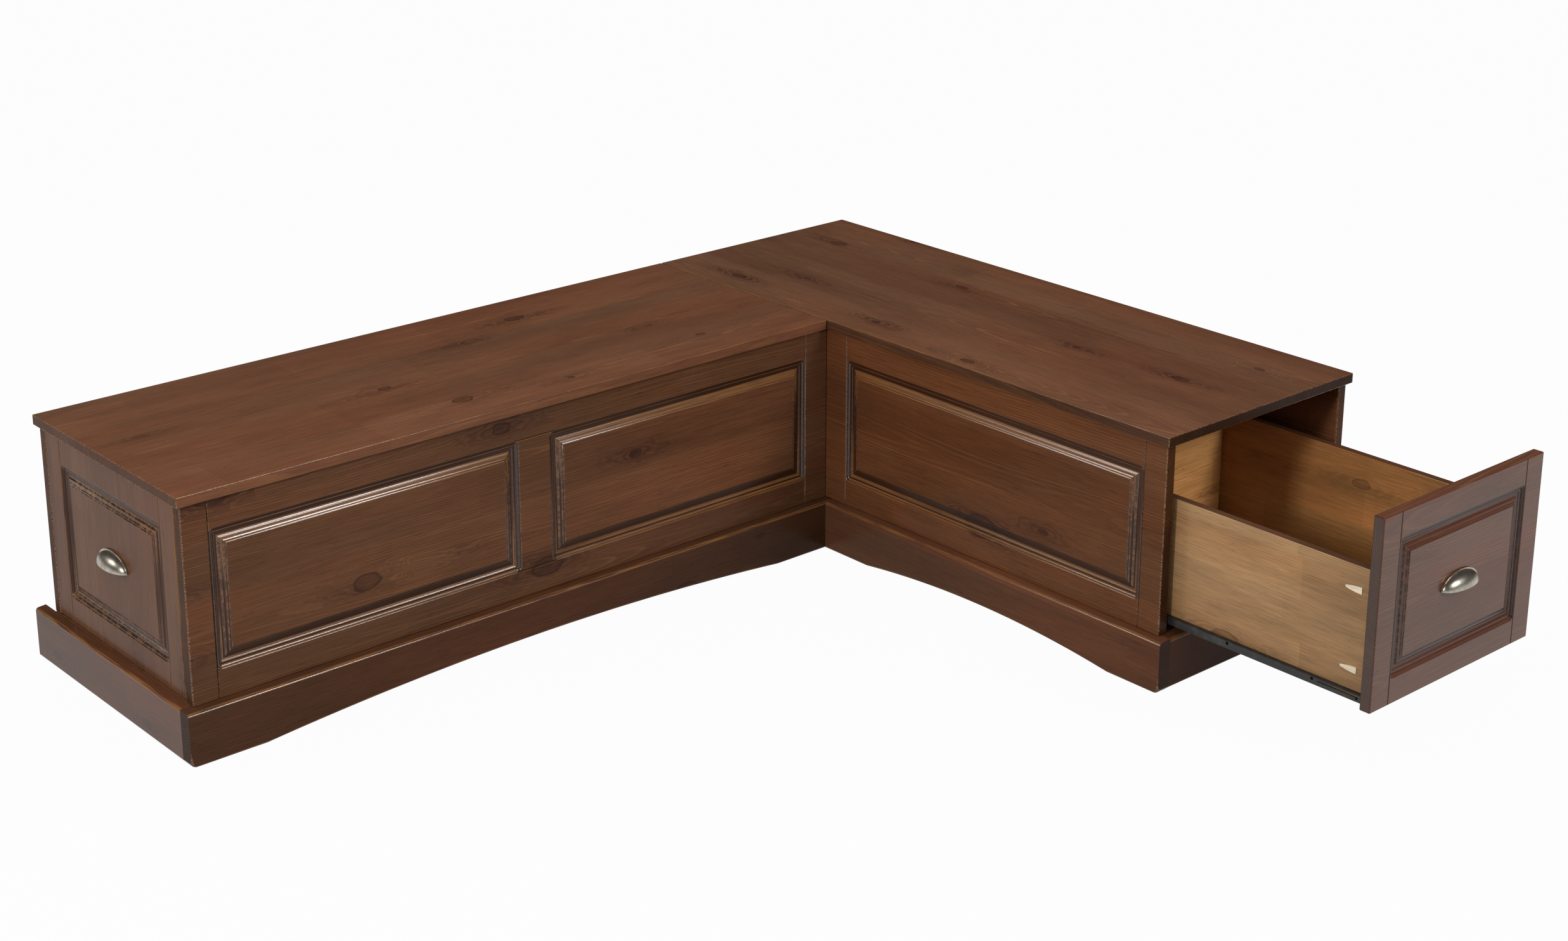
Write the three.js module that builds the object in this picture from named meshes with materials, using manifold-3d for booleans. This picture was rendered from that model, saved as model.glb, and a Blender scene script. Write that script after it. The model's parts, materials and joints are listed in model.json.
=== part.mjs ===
// Corner storage bench of stained pine.
// Two low cases stand in the corner of a room, a left one along X and a right one along Y.
// Each carries a fixed seat board, stands on a plinth frame and holds one long drawer in its free end.
// The left drawer is shut and the right drawer is pulled out.
// Millimetres, +Z up. The origin is on the floor, in the middle of the whole footprint.

import * as THREE from 'three';
import { mergeVertices } from 'three/addons/utils/BufferGeometryUtils.js';
import Module from 'manifold-3d';

const wasm = await Module();
wasm.setup();

// Seat boards
const seatHeight = 450;
const topThickness = 18;
const topDepth = 491;
const leftTopLength = 1343;
const rightTopLength = 821;
const topFrontOverhang = 6;
const topEndOverhang = 7;
const topBackOverhang = 8;
const topGap = 2;
const topArris = 1;

// Case boards
const panelThickness = 21;
const panelArris = 2;
const unitGap = 1.5;
const cleatSize = 20;
const dividerClearance = 25;

// Glue lines between boards that touch, and the overrun of every cut
const seam = 0.25;
const overrun = 2;

// Plinth frame
const plinthHeight = 89;
const plinthCrown = 5;
const plinthProud = 18;
const plinthBearing = 8;
const plinthEndProud = 19;
const endBoardLift = 4;
const endBoardBackReach = 37;
const railThickness = 26;
const bottomThickness = 16;
const leftFootLength = 136;
const leftArchRise = 25.5;
const rightFootLength = 114;
const rightArchRise = 20;

// Raised panels milled into the fronts
const outlineBottom = 142;
const outlineTop = 384;
const outerMargin = 45;
const innerMargin = 52;
const centreStile = 62;
const drawerFrontMargin = 45;
const outlineRadius = 11;
const mouldingWidth = 32;
const mouldingDepth = 6.5;
const grooveWidth = 3;
const grooveDepth = 2;

// Shares of the moulding's width and depth, from the outline in to the raised field
const mouldingShares = [
  [0, 0],
  [0.07, 0.14],
  [0.125, 0.46],
  [0.156, 0.7],
  [0.23, 0.48],
  [0.3, 0.62],
  [0.375, 0.92],
  [0.48, 0.92],
  [0.53, 0.7],
  [0.58, 1],
  [0.66, 0.8],
  [1, 0.22],
  [1, 0],
];

// Drawers
const frontGapAtSide = 1.5;
const frontGapAbove = 5;
const frontGapBelow = 5;
const drawerFrontThickness = 20;
const drawerSideThickness = 15;
const drawerLength = 625;
const drawerSideBottom = 107;
const drawerSideTop = 331;
const drawerBottomUnderside = 121;
const drawerBottomThickness = 5;
const frontGrooveDepth = 9;
const sideGrooveDepth = 7;
const drawerTravel = 450;
const rightDrawerOpen = 406;

// Wood plugs in the screw pockets of the drawer sides
const plugLength = 31;
const plugHeight = 11;
const plugTipHeight = 3;
const plugDepth = 6;
const plugProud = 0.6;
const plugFlatFromFront = 18;
const plugLowHeight = 156;
const plugHighHeight = 291;
const plugBulgeShare = 0.5;

// Ball slides
const slideSpace = 12.5;
const slideCentre = 116.2;
const slideLength = 600;
const slideSheet = 1.2;
const slideSetback = 2;
const cabinetMemberHeight = 27;
const cabinetMemberReach = 10.25;
const drawerMemberHeight = 12.6;
const slideRunningGap = 0.4;
const cageLength = 340;
const cageStart = 250;
const cageReach = 9.5;
const cageSheet = 0.4;
const slideHoleRadius = 2.7;
const slideHoleLift = 2.8;
const slideHoleNear = 92.5;
const slideHoleFar = 262;
const leverNearFront = 4.6;
const leverLength = 76.5;
const leverStripHeight = 1.6;
const leverSlotLift = 0.9;
const leverSlotTip = 1.5;
const leverHookWidth = 4;
const leverHookDrop = 3.5;

// Cup pulls
const pullWidth = 98;
const pullRise = 27;
const pullProjection = 20;
const pullWall = 1.6;
const pullBottom = 256;
const pullFlangeRim = 2.5;
const pullFlangeThickness = 2;
const pullPostRadius = 3.5;
const pullPostSpacing = 64;
const domeTurns = 32;
const domeRings = 20;
const archSteps = 20;
const crownSteps = 6;
const cornerSteps = 3;

const plinthTop = plinthHeight + plinthCrown;
const caseTop = seatHeight - topThickness;
const caseDepth = topDepth - topFrontOverhang - topBackOverhang;
const innerFront = panelThickness;
const innerBack = caseDepth - panelThickness;

const stainedPine = { color: 0x5a3a28, roughness: 0.42, metalness: 0 };
const drawerPine = { color: 0x8f6b42, roughness: 0.6, metalness: 0 };
const palePlug = { color: 0xdccfb4, roughness: 0.7, metalness: 0 };
const blackSteel = { color: 0x27282b, roughness: 0.45, metalness: 0.6 };
const agedNickel = { color: 0x8f8a7c, roughness: 0.3, metalness: 1 };

const bench = new THREE.Group();

// Each unit is drawn along its own axes: u runs from the free end of the case to its inner end,
// v from the front face to the back, w up. The right unit is the mirror image of the left one.
function unitBasis(alongU, alongV, originX, originY) {
  const matrix = new THREE.Matrix4().makeBasis(alongU, alongV, new THREE.Vector3(0, 0, 1));
  return matrix.setPosition(originX, originY, 0);
}

const xAxis = new THREE.Vector3(1, 0, 0);
const yAxis = new THREE.Vector3(0, 1, 0);
const leftFreeEnd = topEndOverhang - leftTopLength;
const rightFreeEnd = topEndOverhang - rightTopLength;
const backFace = topDepth - topBackOverhang;

const leftUnit = {
  name: 'left',
  basis: unitBasis(xAxis, yAxis, leftFreeEnd, topFrontOverhang),
  length: topFrontOverhang - unitGap - leftFreeEnd,
  topEnd: -topGap - leftFreeEnd,
  plinthEnd: topFrontOverhang - seam - leftFreeEnd,
  shownFront: topFrontOverhang - unitGap - leftFreeEnd,
  raisedPanels: 2,
  footLength: leftFootLength,
  archRise: leftArchRise,
  open: 0,
};

const rightUnit = {
  name: 'right',
  basis: unitBasis(yAxis, xAxis, topFrontOverhang, rightFreeEnd),
  length: backFace - rightFreeEnd,
  topEnd: topDepth - rightFreeEnd,
  plinthEnd: topFrontOverhang - plinthProud - seam - rightFreeEnd,
  shownFront: topFrontOverhang - rightFreeEnd,
  raisedPanels: 1,
  footLength: rightFootLength,
  archRise: rightArchRise,
  open: rightDrawerOpen,
};

// Solids and cuts

function toSolid(geometry) {
  const bare = geometry.clone();
  bare.deleteAttribute('normal');
  bare.deleteAttribute('uv');
  const merged = mergeVertices(bare);
  const kept = [];
  const index = merged.index.array;
  for (let i = 0; i < index.length; i += 3) {
    const [a, b, c] = [index[i], index[i + 1], index[i + 2]];
    if (a !== b && b !== c && c !== a) kept.push(a, b, c);
  }
  return new wasm.Manifold(new wasm.Mesh({
    numProp: 3,
    vertProperties: new Float32Array(merged.attributes.position.array),
    triVerts: new Uint32Array(kept),
  }));
}

function toGeometry(solid) {
  const mesh = solid.getMesh();
  const geometry = new THREE.BufferGeometry();
  const positions = new Float32Array(mesh.numVert * 3);
  for (let i = 0; i < mesh.numVert; i += 1) {
    for (let k = 0; k < 3; k += 1) positions[i * 3 + k] = mesh.vertProperties[i * mesh.numProp + k];
  }
  geometry.setAttribute('position', new THREE.BufferAttribute(positions, 3));
  geometry.setIndex(Array.from(mesh.triVerts));
  return geometry;
}

function cut(body, tools) {
  return tools.reduce((rest, tool) => rest.subtract(toSolid(tool)), toSolid(body));
}

// A mirrored basis turns every triangle inside out, so its corners are taken the other way round.
function place(unit, name, geometry, finish) {
  const placed = geometry.index ? geometry.clone() : mergeVertices(geometry.clone());
  placed.applyMatrix4(unit.basis);
  if (unit.basis.determinant() < 0) {
    const index = placed.index.array;
    for (let i = 0; i < index.length; i += 3) [index[i], index[i + 1]] = [index[i + 1], index[i]];
  }
  placed.computeVertexNormals();
  const mesh = new THREE.Mesh(placed, new THREE.MeshStandardMaterial(finish));
  mesh.name = `${unit.name}_${name}`;
  bench.add(mesh);
}

function block(low, high) {
  const size = high.map((value, k) => value - low[k]);
  const geometry = new THREE.BoxGeometry(size[0], size[1], size[2]);
  return geometry.translate(low[0] + size[0] / 2, low[1] + size[1] / 2, low[2] + size[2] / 2);
}

// A board with a flat chamfer along all of its twelve edges
function easedBlock(low, high, arris) {
  const size = high.map((value, k) => value - low[k]);
  const outline = new THREE.Shape();
  outline.moveTo(arris, 0);
  outline.lineTo(size[0] - arris, 0);
  outline.lineTo(size[0], arris);
  outline.lineTo(size[0], size[1] - arris);
  outline.lineTo(size[0] - arris, size[1]);
  outline.lineTo(arris, size[1]);
  outline.lineTo(0, size[1] - arris);
  outline.lineTo(0, arris);
  const geometry = new THREE.ExtrudeGeometry(outline, {
    depth: size[2] - 2 * arris,
    bevelEnabled: true,
    bevelThickness: arris,
    bevelSize: arris,
    bevelOffset: -arris,
    bevelSegments: 1,
  });
  return geometry.translate(low[0], low[1], low[2] + arris);
}

// An outline drawn across v and w, run along u
function runAlongU(points, uStart, uEnd) {
  const outline = new THREE.Shape(points.map(([v, w]) => new THREE.Vector2(v, w)));
  const geometry = new THREE.ExtrudeGeometry(outline, { depth: uEnd - uStart, bevelEnabled: false });
  const turn = new THREE.Matrix4().makeBasis(yAxis, new THREE.Vector3(0, 0, 1), xAxis);
  return geometry.applyMatrix4(turn).translate(uStart, 0, 0);
}

// An outline drawn across u and w, run along v
function runAlongV(points, vStart, vEnd) {
  const outline = new THREE.Shape(points.map(([u, w]) => new THREE.Vector2(u, w)));
  const geometry = new THREE.ExtrudeGeometry(outline, { depth: vEnd - vStart, bevelEnabled: false });
  const turn = new THREE.Matrix4().makeBasis(xAxis, new THREE.Vector3(0, 0, 1), new THREE.Vector3(0, -1, 0));
  return geometry.applyMatrix4(turn).translate(0, vEnd, 0);
}

// Milled fronts

// One ring of the moulding: the outline drawn in by an amount, with its corners round while there is room
function outlineRing(halfWidth, halfHeight, inset) {
  const radius = Math.max(outlineRadius - inset, 0);
  const ring = [];
  for (let corner = 0; corner < 4; corner += 1) {
    const signX = corner === 0 || corner === 3 ? 1 : -1;
    const signY = corner < 2 ? 1 : -1;
    const centreX = signX * (halfWidth - inset - radius);
    const centreY = signY * (halfHeight - inset - radius);
    for (let step = 0; step <= cornerSteps; step += 1) {
      const angle = (corner + step / cornerSteps) * Math.PI / 2;
      ring.push([centreX + radius * Math.cos(angle), centreY + radius * Math.sin(angle)]);
    }
  }
  return ring;
}

// The cutter that mills one raised panel: a closed loop of moulding that stands out past the face.
// Its own axes are the panel's width, its height, and the depth into the board.
function mouldingCutter(width, height) {
  const loop = mouldingShares.map(([across, down]) => [across * mouldingWidth, down * mouldingDepth]);
  loop.push([mouldingWidth, -overrun]);
  loop.push([0, -overrun]);
  const rings = loop.map(([inset]) => outlineRing(width / 2, height / 2, inset));
  const count = rings[0].length;
  const positions = [];
  rings.forEach((ring, j) => {
    ring.forEach(([x, y]) => positions.push(x, y, loop[j][1]));
  });
  const index = [];
  for (let j = 0; j < rings.length; j += 1) {
    const nextJ = (j + 1) % rings.length;
    for (let i = 0; i < count; i += 1) {
      const nextI = (i + 1) % count;
      const [a, b] = [j * count + i, j * count + nextI];
      const [c, d] = [nextJ * count + nextI, nextJ * count + i];
      index.push(a, b, c, a, c, d);
    }
  }
  const geometry = new THREE.BufferGeometry();
  geometry.setAttribute('position', new THREE.Float32BufferAttribute(positions, 3));
  geometry.setIndex(index);
  return geometry;
}

// A straight V groove of the fronts, from one point of the face to another
function grooveCutter(start, end) {
  const length = Math.hypot(end[0] - start[0], end[1] - start[1]);
  const flare = grooveWidth / 2 * (1 + overrun / grooveDepth);
  const outline = new THREE.Shape();
  outline.moveTo(-flare, -overrun);
  outline.lineTo(flare, -overrun);
  outline.lineTo(0, grooveDepth);
  const geometry = new THREE.ExtrudeGeometry(outline, { depth: length, bevelEnabled: false });
  const along = new THREE.Vector3((end[0] - start[0]) / length, (end[1] - start[1]) / length, 0);
  const inward = new THREE.Vector3(0, 0, 1);
  const across = new THREE.Vector3().crossVectors(inward, along);
  const turn = new THREE.Matrix4().makeBasis(across, inward, along);
  return geometry.applyMatrix4(turn).translate(start[0], start[1], 0);
}

// The cuts of one front, in face axes: the moulding of each raised panel, the grooves that stand in
// for the joints of the stiles, and the short ones across the middle stile.
function frontCutters(spans, bottom, top) {
  const width = ([start, end]) => end - start;
  const height = outlineTop - outlineBottom;
  const middle = (outlineTop + outlineBottom) / 2;
  const cutters = spans.map((span) => mouldingCutter(width(span), height)
    .translate((span[0] + span[1]) / 2, middle, 0));
  const first = spans[0][0] + grooveWidth / 2;
  const last = spans[spans.length - 1][1] - grooveWidth / 2;
  [first, last].forEach((at) => {
    cutters.push(grooveCutter([at, bottom - overrun], [at, top + overrun]));
  });
  for (let i = 1; i < spans.length; i += 1) {
    [outlineBottom + grooveWidth / 2, outlineTop - grooveWidth / 2].forEach((at) => {
      cutters.push(grooveCutter([spans[i - 1][1] - outlineRadius, at], [spans[i][0] + outlineRadius, at]));
    });
  }
  return cutters;
}

// Face axes to unit axes: a front along u that faces -v, or a drawer front along v that faces -u
function ontoFront(geometry) {
  const turn = new THREE.Matrix4().makeBasis(xAxis, new THREE.Vector3(0, 0, 1), yAxis);
  return flipped(geometry.applyMatrix4(turn));
}

function ontoDrawerFront(geometry, faceU) {
  const turn = new THREE.Matrix4().makeBasis(yAxis, new THREE.Vector3(0, 0, 1), xAxis);
  return geometry.applyMatrix4(turn).translate(faceU, 0, 0);
}

function flipped(geometry) {
  const whole = geometry.index ? geometry : mergeVertices(geometry);
  const index = whole.index.array;
  for (let i = 0; i < index.length; i += 3) [index[i], index[i + 1]] = [index[i + 1], index[i]];
  return whole;
}

function raisedSpans(unit) {
  const first = outerMargin;
  const last = unit.shownFront - innerMargin;
  const width = (last - first - (unit.raisedPanels - 1) * centreStile) / unit.raisedPanels;
  const spans = [];
  for (let i = 0; i < unit.raisedPanels; i += 1) {
    const start = first + i * (width + centreStile);
    spans.push([start, start + width]);
  }
  return spans;
}

// Case and seat

function makeTop(unit) {
  const low = [-topEndOverhang, -topFrontOverhang, caseTop];
  const high = [unit.topEnd, caseDepth + topBackOverhang, seatHeight];
  place(unit, 'top_board', easedBlock(low, high, topArris), stainedPine);
}

function makeCase(unit) {
  const low = plinthTop + seam;
  const high = caseTop - seam;
  const blank = easedBlock([0, 0, low], [unit.length, panelThickness, high], panelArris);
  const cutters = frontCutters(raisedSpans(unit), low, high).map(ontoFront);
  place(unit, 'front_panel', toGeometry(cut(blank, cutters)), stainedPine);
  const back = easedBlock([0, innerBack, low], [unit.length, caseDepth, high], panelArris);
  place(unit, 'back_panel', back, stainedPine);
  const between = [innerFront + seam, innerBack - seam];
  const end = block([unit.length - panelThickness, between[0], low], [unit.length, between[1], high]);
  place(unit, 'inner_end_panel', end, stainedPine);
  const dividerStart = drawerFrontThickness + drawerLength + dividerClearance;
  const dividerEnd = dividerStart + panelThickness;
  const divider = block([dividerStart, between[0], low], [dividerEnd, between[1], high]);
  place(unit, 'divider', divider, stainedPine);
  const cleatU = [dividerEnd + seam, unit.length - panelThickness - seam];
  const cleatLow = high - cleatSize;
  const frontCleat = block([cleatU[0], between[0], cleatLow], [cleatU[1], between[0] + cleatSize, high]);
  place(unit, 'front_top_cleat', frontCleat, stainedPine);
  const backCleat = block([cleatU[0], between[1] - cleatSize, cleatLow], [cleatU[1], between[1], high]);
  place(unit, 'back_top_cleat', backCleat, stainedPine);
}

// Plinth

// The crown is an arc that starts at the outer arris and levels out at the face of the case.
function crownPoints(proud) {
  const radius = (proud * proud + plinthCrown * plinthCrown) / (2 * plinthCrown);
  const start = Math.asin(proud / radius);
  const points = [];
  for (let i = 0; i <= crownSteps; i += 1) {
    const angle = start * (1 - i / crownSteps);
    points.push([-radius * Math.sin(angle), plinthTop - radius * (1 - Math.cos(angle))]);
  }
  return points;
}

// The underside stands on two feet and rises between them in one shallow arc.
function archCutter(uStart, uEnd, rise) {
  const half = (uEnd - uStart) / 2;
  const radius = (half * half + rise * rise) / (2 * rise);
  const spread = Math.asin(half / radius);
  const points = [[uEnd, -overrun], [uStart, -overrun]];
  for (let i = 0; i <= archSteps; i += 1) {
    const angle = spread * (2 * i / archSteps - 1);
    points.push([uStart + half + radius * Math.sin(angle), rise - radius * (1 - Math.cos(angle))]);
  }
  return runAlongV(points.reverse(), -plinthProud - overrun, plinthBearing + overrun);
}

function makePlinth(unit) {
  const profile = [[plinthBearing, 0], [plinthBearing, plinthTop], ...crownPoints(plinthProud).reverse()];
  profile.push([-plinthProud, 0]);
  const front = runAlongU(profile, -plinthEndProud, unit.plinthEnd);
  const arch = archCutter(unit.footLength - plinthEndProud, unit.plinthEnd - unit.footLength, unit.archRise);
  place(unit, 'plinth_front', toGeometry(cut(front, [arch])), stainedPine);

  const endProfile = [[-plinthEndProud, endBoardLift], [0, endBoardLift]];
  endProfile.push(...crownPoints(plinthEndProud).reverse());
  const endBoard = runAlongV(endProfile, plinthBearing + seam, caseDepth + endBoardBackReach);
  place(unit, 'plinth_end', endBoard, stainedPine);

  const railTop = plinthTop - seam;
  const backRail = [caseDepth - railThickness, caseDepth];
  const back = block([seam, backRail[0], 0], [unit.length, backRail[1], railTop]);
  place(unit, 'base_back_rail', back, stainedPine);
  const crossV = [plinthBearing + seam, backRail[0] - seam];
  if (unit.plinthEnd < unit.length - railThickness) crossV[0] = railThickness + seam;
  const cross = block([unit.length - railThickness, crossV[0], 0], [unit.length, crossV[1], railTop]);
  place(unit, 'base_inner_rail', cross, stainedPine);
}

// Beyond the left case the right front has no plinth, and a rail carries it instead.
function makeCornerRail(unit) {
  const start = unit.plinthEnd + plinthProud + 2 * seam;
  const rail = block([start, 0, 0], [unit.length, railThickness, plinthTop - seam]);
  place(unit, 'base_corner_rail', rail, stainedPine);
}

function makeBottom(unit, hasCornerRail) {
  const front = plinthBearing + seam;
  const back = caseDepth - railThickness - seam;
  const inner = unit.length - railThickness - seam;
  const outline = new THREE.Shape();
  outline.moveTo(seam, front);
  if (hasCornerRail) {
    const notch = unit.plinthEnd + plinthProud + seam;
    outline.lineTo(notch, front);
    outline.lineTo(notch, railThickness + seam);
    outline.lineTo(inner, railThickness + seam);
  } else {
    outline.lineTo(inner, front);
  }
  outline.lineTo(inner, back);
  outline.lineTo(seam, back);
  const board = new THREE.ExtrudeGeometry(outline, { depth: bottomThickness, bevelEnabled: false });
  place(unit, 'bottom_board', board.translate(0, 0, plinthTop - bottomThickness), stainedPine);
}

// Drawer

// The two hands of a drawer: v of the case wall, and the way from that wall towards the drawer
const hands = [
  { name: 'front', wall: innerFront, inward: 1 },
  { name: 'back', wall: innerBack, inward: -1 },
];

function handBlock(hand, uSpan, reach, wSpan) {
  const sides = reach.map((distance) => hand.wall + hand.inward * distance).sort((a, b) => a - b);
  return block([uSpan[0], sides[0], wSpan[0]], [uSpan[1], sides[1], wSpan[1]]);
}

// The outline of a plug: flat towards the drawer front, narrowing to a blunt tip behind
function plugOutline(clearance) {
  const half = plugHeight / 2 + clearance;
  const length = plugLength + 2 * clearance;
  const tipHalf = plugTipHeight / 2 + clearance;
  const outline = new THREE.Shape();
  outline.moveTo(-clearance, -half);
  outline.quadraticCurveTo(length * plugBulgeShare, -half, length - clearance, -tipHalf);
  outline.lineTo(length - clearance, tipHalf);
  outline.quadraticCurveTo(length * plugBulgeShare, half, -clearance, half);
  return outline;
}

function plugSolid(hand, centre, clearance, low, high) {
  const geometry = new THREE.ExtrudeGeometry(plugOutline(clearance), {
    depth: high - low,
    bevelEnabled: false,
    curveSegments: 6,
  });
  const turn = new THREE.Matrix4().makeBasis(xAxis, new THREE.Vector3(0, 0, 1), yAxis);
  const flat = flipped(geometry.applyMatrix4(turn)).translate(0, low, 0);
  const turned = hand.inward > 0 ? flat : flipped(flat.scale(1, -1, 1));
  const wallToSide = hand.wall + hand.inward * slideSpace;
  return turned.translate(drawerFrontThickness + plugFlatFromFront, wallToSide, centre);
}

function makeDrawer(unit) {
  const shift = -unit.open;
  const vSpan = [innerFront + frontGapAtSide, innerBack - frontGapAtSide];
  const wSpan = [plinthTop + frontGapBelow, caseTop - frontGapAbove];
  const bottomTop = drawerBottomUnderside + drawerBottomThickness;
  const grooveLow = drawerBottomUnderside - seam;
  const grooveHigh = bottomTop + seam;
  const blank = easedBlock([0, vSpan[0], wSpan[0]], [drawerFrontThickness, vSpan[1], wSpan[1]], panelArris);
  const spans = [[vSpan[0] + drawerFrontMargin, vSpan[1] - drawerFrontMargin]];
  const cutters = frontCutters(spans, wSpan[0], wSpan[1]).map((cutter) => ontoDrawerFront(cutter, 0));
  cutters.push(block(
    [drawerFrontThickness - frontGrooveDepth - seam, vSpan[0] - overrun, grooveLow],
    [drawerFrontThickness + overrun, vSpan[1] + overrun, grooveHigh],
  ));
  const front = toGeometry(cut(blank, cutters)).translate(shift, 0, 0);
  place(unit, 'drawer_front', front, stainedPine);

  const sideU = [drawerFrontThickness + seam, drawerFrontThickness + drawerLength];
  hands.forEach((hand) => {
    const side = handBlock(hand, sideU, [slideSpace, slideSpace + drawerSideThickness],
      [drawerSideBottom, drawerSideTop]);
    const grooveReach = slideSpace + drawerSideThickness - sideGrooveDepth - seam;
    const cuts = [handBlock(hand, [sideU[0] - overrun, sideU[1] + overrun],
      [grooveReach, slideSpace + drawerSideThickness + overrun], [grooveLow, grooveHigh])];
    [['low', plugLowHeight], ['high', plugHighHeight]].forEach(([level, height]) => {
      cuts.push(plugSolid(hand, height, seam, -overrun, plugDepth + seam));
      const plug = plugSolid(hand, height, 0, -plugProud, plugDepth).translate(shift, 0, 0);
      place(unit, `drawer_${hand.name}_plug_${level}`, plug, palePlug);
    });
    const solid = toGeometry(cut(side, cuts)).translate(shift, 0, 0);
    place(unit, `drawer_${hand.name}_side`, solid, drawerPine);
  });

  const inset = slideSpace + drawerSideThickness;
  const back = block(
    [sideU[1] - drawerSideThickness, innerFront + inset + seam, bottomTop + seam],
    [sideU[1], innerBack - inset - seam, drawerSideTop],
  );
  place(unit, 'drawer_back', back.translate(shift, 0, 0), drawerPine);
  const bottom = block(
    [drawerFrontThickness - frontGrooveDepth, innerFront + inset - sideGrooveDepth, drawerBottomUnderside],
    [sideU[1], innerBack - inset + sideGrooveDepth, bottomTop],
  );
  place(unit, 'drawer_bottom', bottom.translate(shift, 0, 0), drawerPine);
}

// Slides

// A channel of folded sheet: a web at one reach from the wall, and two legs to another reach
function channel(hand, uSpan, webReach, legReach, height, sheet) {
  const away = Math.sign(legReach - webReach);
  const half = height / 2;
  const points = [
    [webReach, -half],
    [legReach, -half],
    [legReach, -half + sheet],
    [webReach + away * sheet, -half + sheet],
    [webReach + away * sheet, half - sheet],
    [legReach, half - sheet],
    [legReach, half],
    [webReach, half],
  ].map(([reach, w]) => [hand.wall + hand.inward * reach, slideCentre + w]);
  return runAlongU(points, uSpan[0], uSpan[1]);
}

// Openings in the web of the drawer member: two screw holes and the slot of the release lever
function webCutters(hand, webReach) {
  const v = [webReach - overrun, webReach + slideSheet + overrun]
    .map((reach) => hand.wall + hand.inward * reach).sort((a, b) => a - b);
  const depth = v[1] - v[0];
  const holes = [slideHoleNear, slideHoleFar].map((distance) => {
    const hole = new THREE.CylinderGeometry(slideHoleRadius, slideHoleRadius, depth, 12);
    return hole.translate(drawerFrontThickness + distance, (v[0] + v[1]) / 2, slideCentre + slideHoleLift);
  });
  const near = drawerFrontThickness + leverNearFront;
  const far = near + leverLength;
  const stripBottom = drawerMemberHeight / 2 - leverStripHeight;
  const lever = runAlongV([
    [near, leverSlotLift - leverHookDrop],
    [near + leverHookWidth, leverSlotLift - leverHookDrop],
    [near + leverHookWidth, leverSlotLift],
    [far, leverSlotLift],
    [far, leverSlotLift + leverSlotTip],
    [near, stripBottom],
  ].map(([u, w]) => [u, slideCentre + w]), v[0], v[1]);
  return [...holes, lever];
}

function makeSlides(unit) {
  hands.forEach((hand) => {
    const cabinetStart = drawerFrontThickness + slideSetback;
    const cabinet = channel(hand, [cabinetStart, cabinetStart + slideLength], seam,
      cabinetMemberReach, cabinetMemberHeight, slideSheet);
    place(unit, `slide_${hand.name}_cabinet_member`, cabinet, blackSteel);

    const cageWeb = seam + slideSheet + slideRunningGap;
    const memberWeb = cageWeb + cageSheet + slideRunningGap;
    const rowOuter = cabinetMemberHeight / 2 - slideSheet - slideRunningGap;
    const rowInner = drawerMemberHeight / 2 + slideRunningGap;
    const cageU = [cageStart - unit.open / 2, cageStart + cageLength - unit.open / 2];
    const cagePoints = [
      [cageWeb, -rowOuter],
      [cageReach, -rowOuter],
      [cageReach, -rowInner],
      [cageWeb + cageSheet, -rowInner],
      [cageWeb + cageSheet, rowInner],
      [cageReach, rowInner],
      [cageReach, rowOuter],
      [cageWeb, rowOuter],
    ].map(([reach, w]) => [hand.wall + hand.inward * reach, slideCentre + w]);
    place(unit, `slide_${hand.name}_ball_cage`, runAlongU(cagePoints, cageU[0], cageU[1]), blackSteel);

    const memberU = [drawerFrontThickness + seam, drawerFrontThickness + slideLength];
    const member = channel(hand, memberU, memberWeb, slideSpace - seam, drawerMemberHeight, slideSheet);
    const cutMember = toGeometry(cut(member, webCutters(hand, memberWeb)));
    place(unit, `slide_${hand.name}_drawer_member`, cutMember.translate(-unit.open, 0, 0), blackSteel);
  });
}

// Pull

// A quarter of an egg-shaped shell that opens downward, with a thin rim against the drawer front
// and two screw posts inside. Drawn with x across, y out of the front and z up.
function pullGeometry() {
  const quarter = (shrink, past) => {
    const egg = new THREE.SphereGeometry(1, domeTurns, domeRings);
    egg.rotateZ(Math.PI / 2);
    const drawnIn = pullFlangeRim + shrink;
    egg.scale(pullWidth / 2 - drawnIn, pullProjection - shrink, pullRise - drawnIn);
    const keep = block([-pullWidth, -past, -past], [pullWidth, pullProjection * 2, pullRise * 2]);
    return toSolid(egg).intersect(toSolid(keep));
  };
  const shell = quarter(0, 0).subtract(quarter(pullWall, overrun));
  const rim = (shrink) => {
    const outline = new THREE.Shape();
    const across = pullWidth / 2 - shrink;
    const up = pullRise - shrink;
    outline.moveTo(across, 0);
    outline.absellipse(0, 0, across, up, 0, Math.PI, false, 0);
    return outline;
  };
  const plate = new THREE.ExtrudeGeometry(rim(0), {
    depth: pullFlangeThickness,
    bevelEnabled: false,
    curveSegments: domeTurns / 2,
  });
  const opening = new THREE.ExtrudeGeometry(rim(pullFlangeRim + pullWall), {
    depth: pullFlangeThickness + 2 * overrun,
    bevelEnabled: false,
    curveSegments: domeTurns / 2,
  }).translate(0, -overrun, -overrun);
  const flange = toSolid(plate).subtract(toSolid(opening));
  const standing = toGeometry(flange).rotateX(Math.PI / 2).scale(1, -1, 1);
  let pull = shell.add(toSolid(flipped(standing)));
  [-1, 1].forEach((side) => {
    const post = new THREE.CylinderGeometry(pullPostRadius, pullPostRadius, pullProjection, 12);
    const height = pullRise / 2;
    post.translate(side * pullPostSpacing / 2, pullProjection / 2, height);
    pull = pull.add(toSolid(post).intersect(quarter(0, 0)));
  });
  return toGeometry(pull);
}

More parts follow.
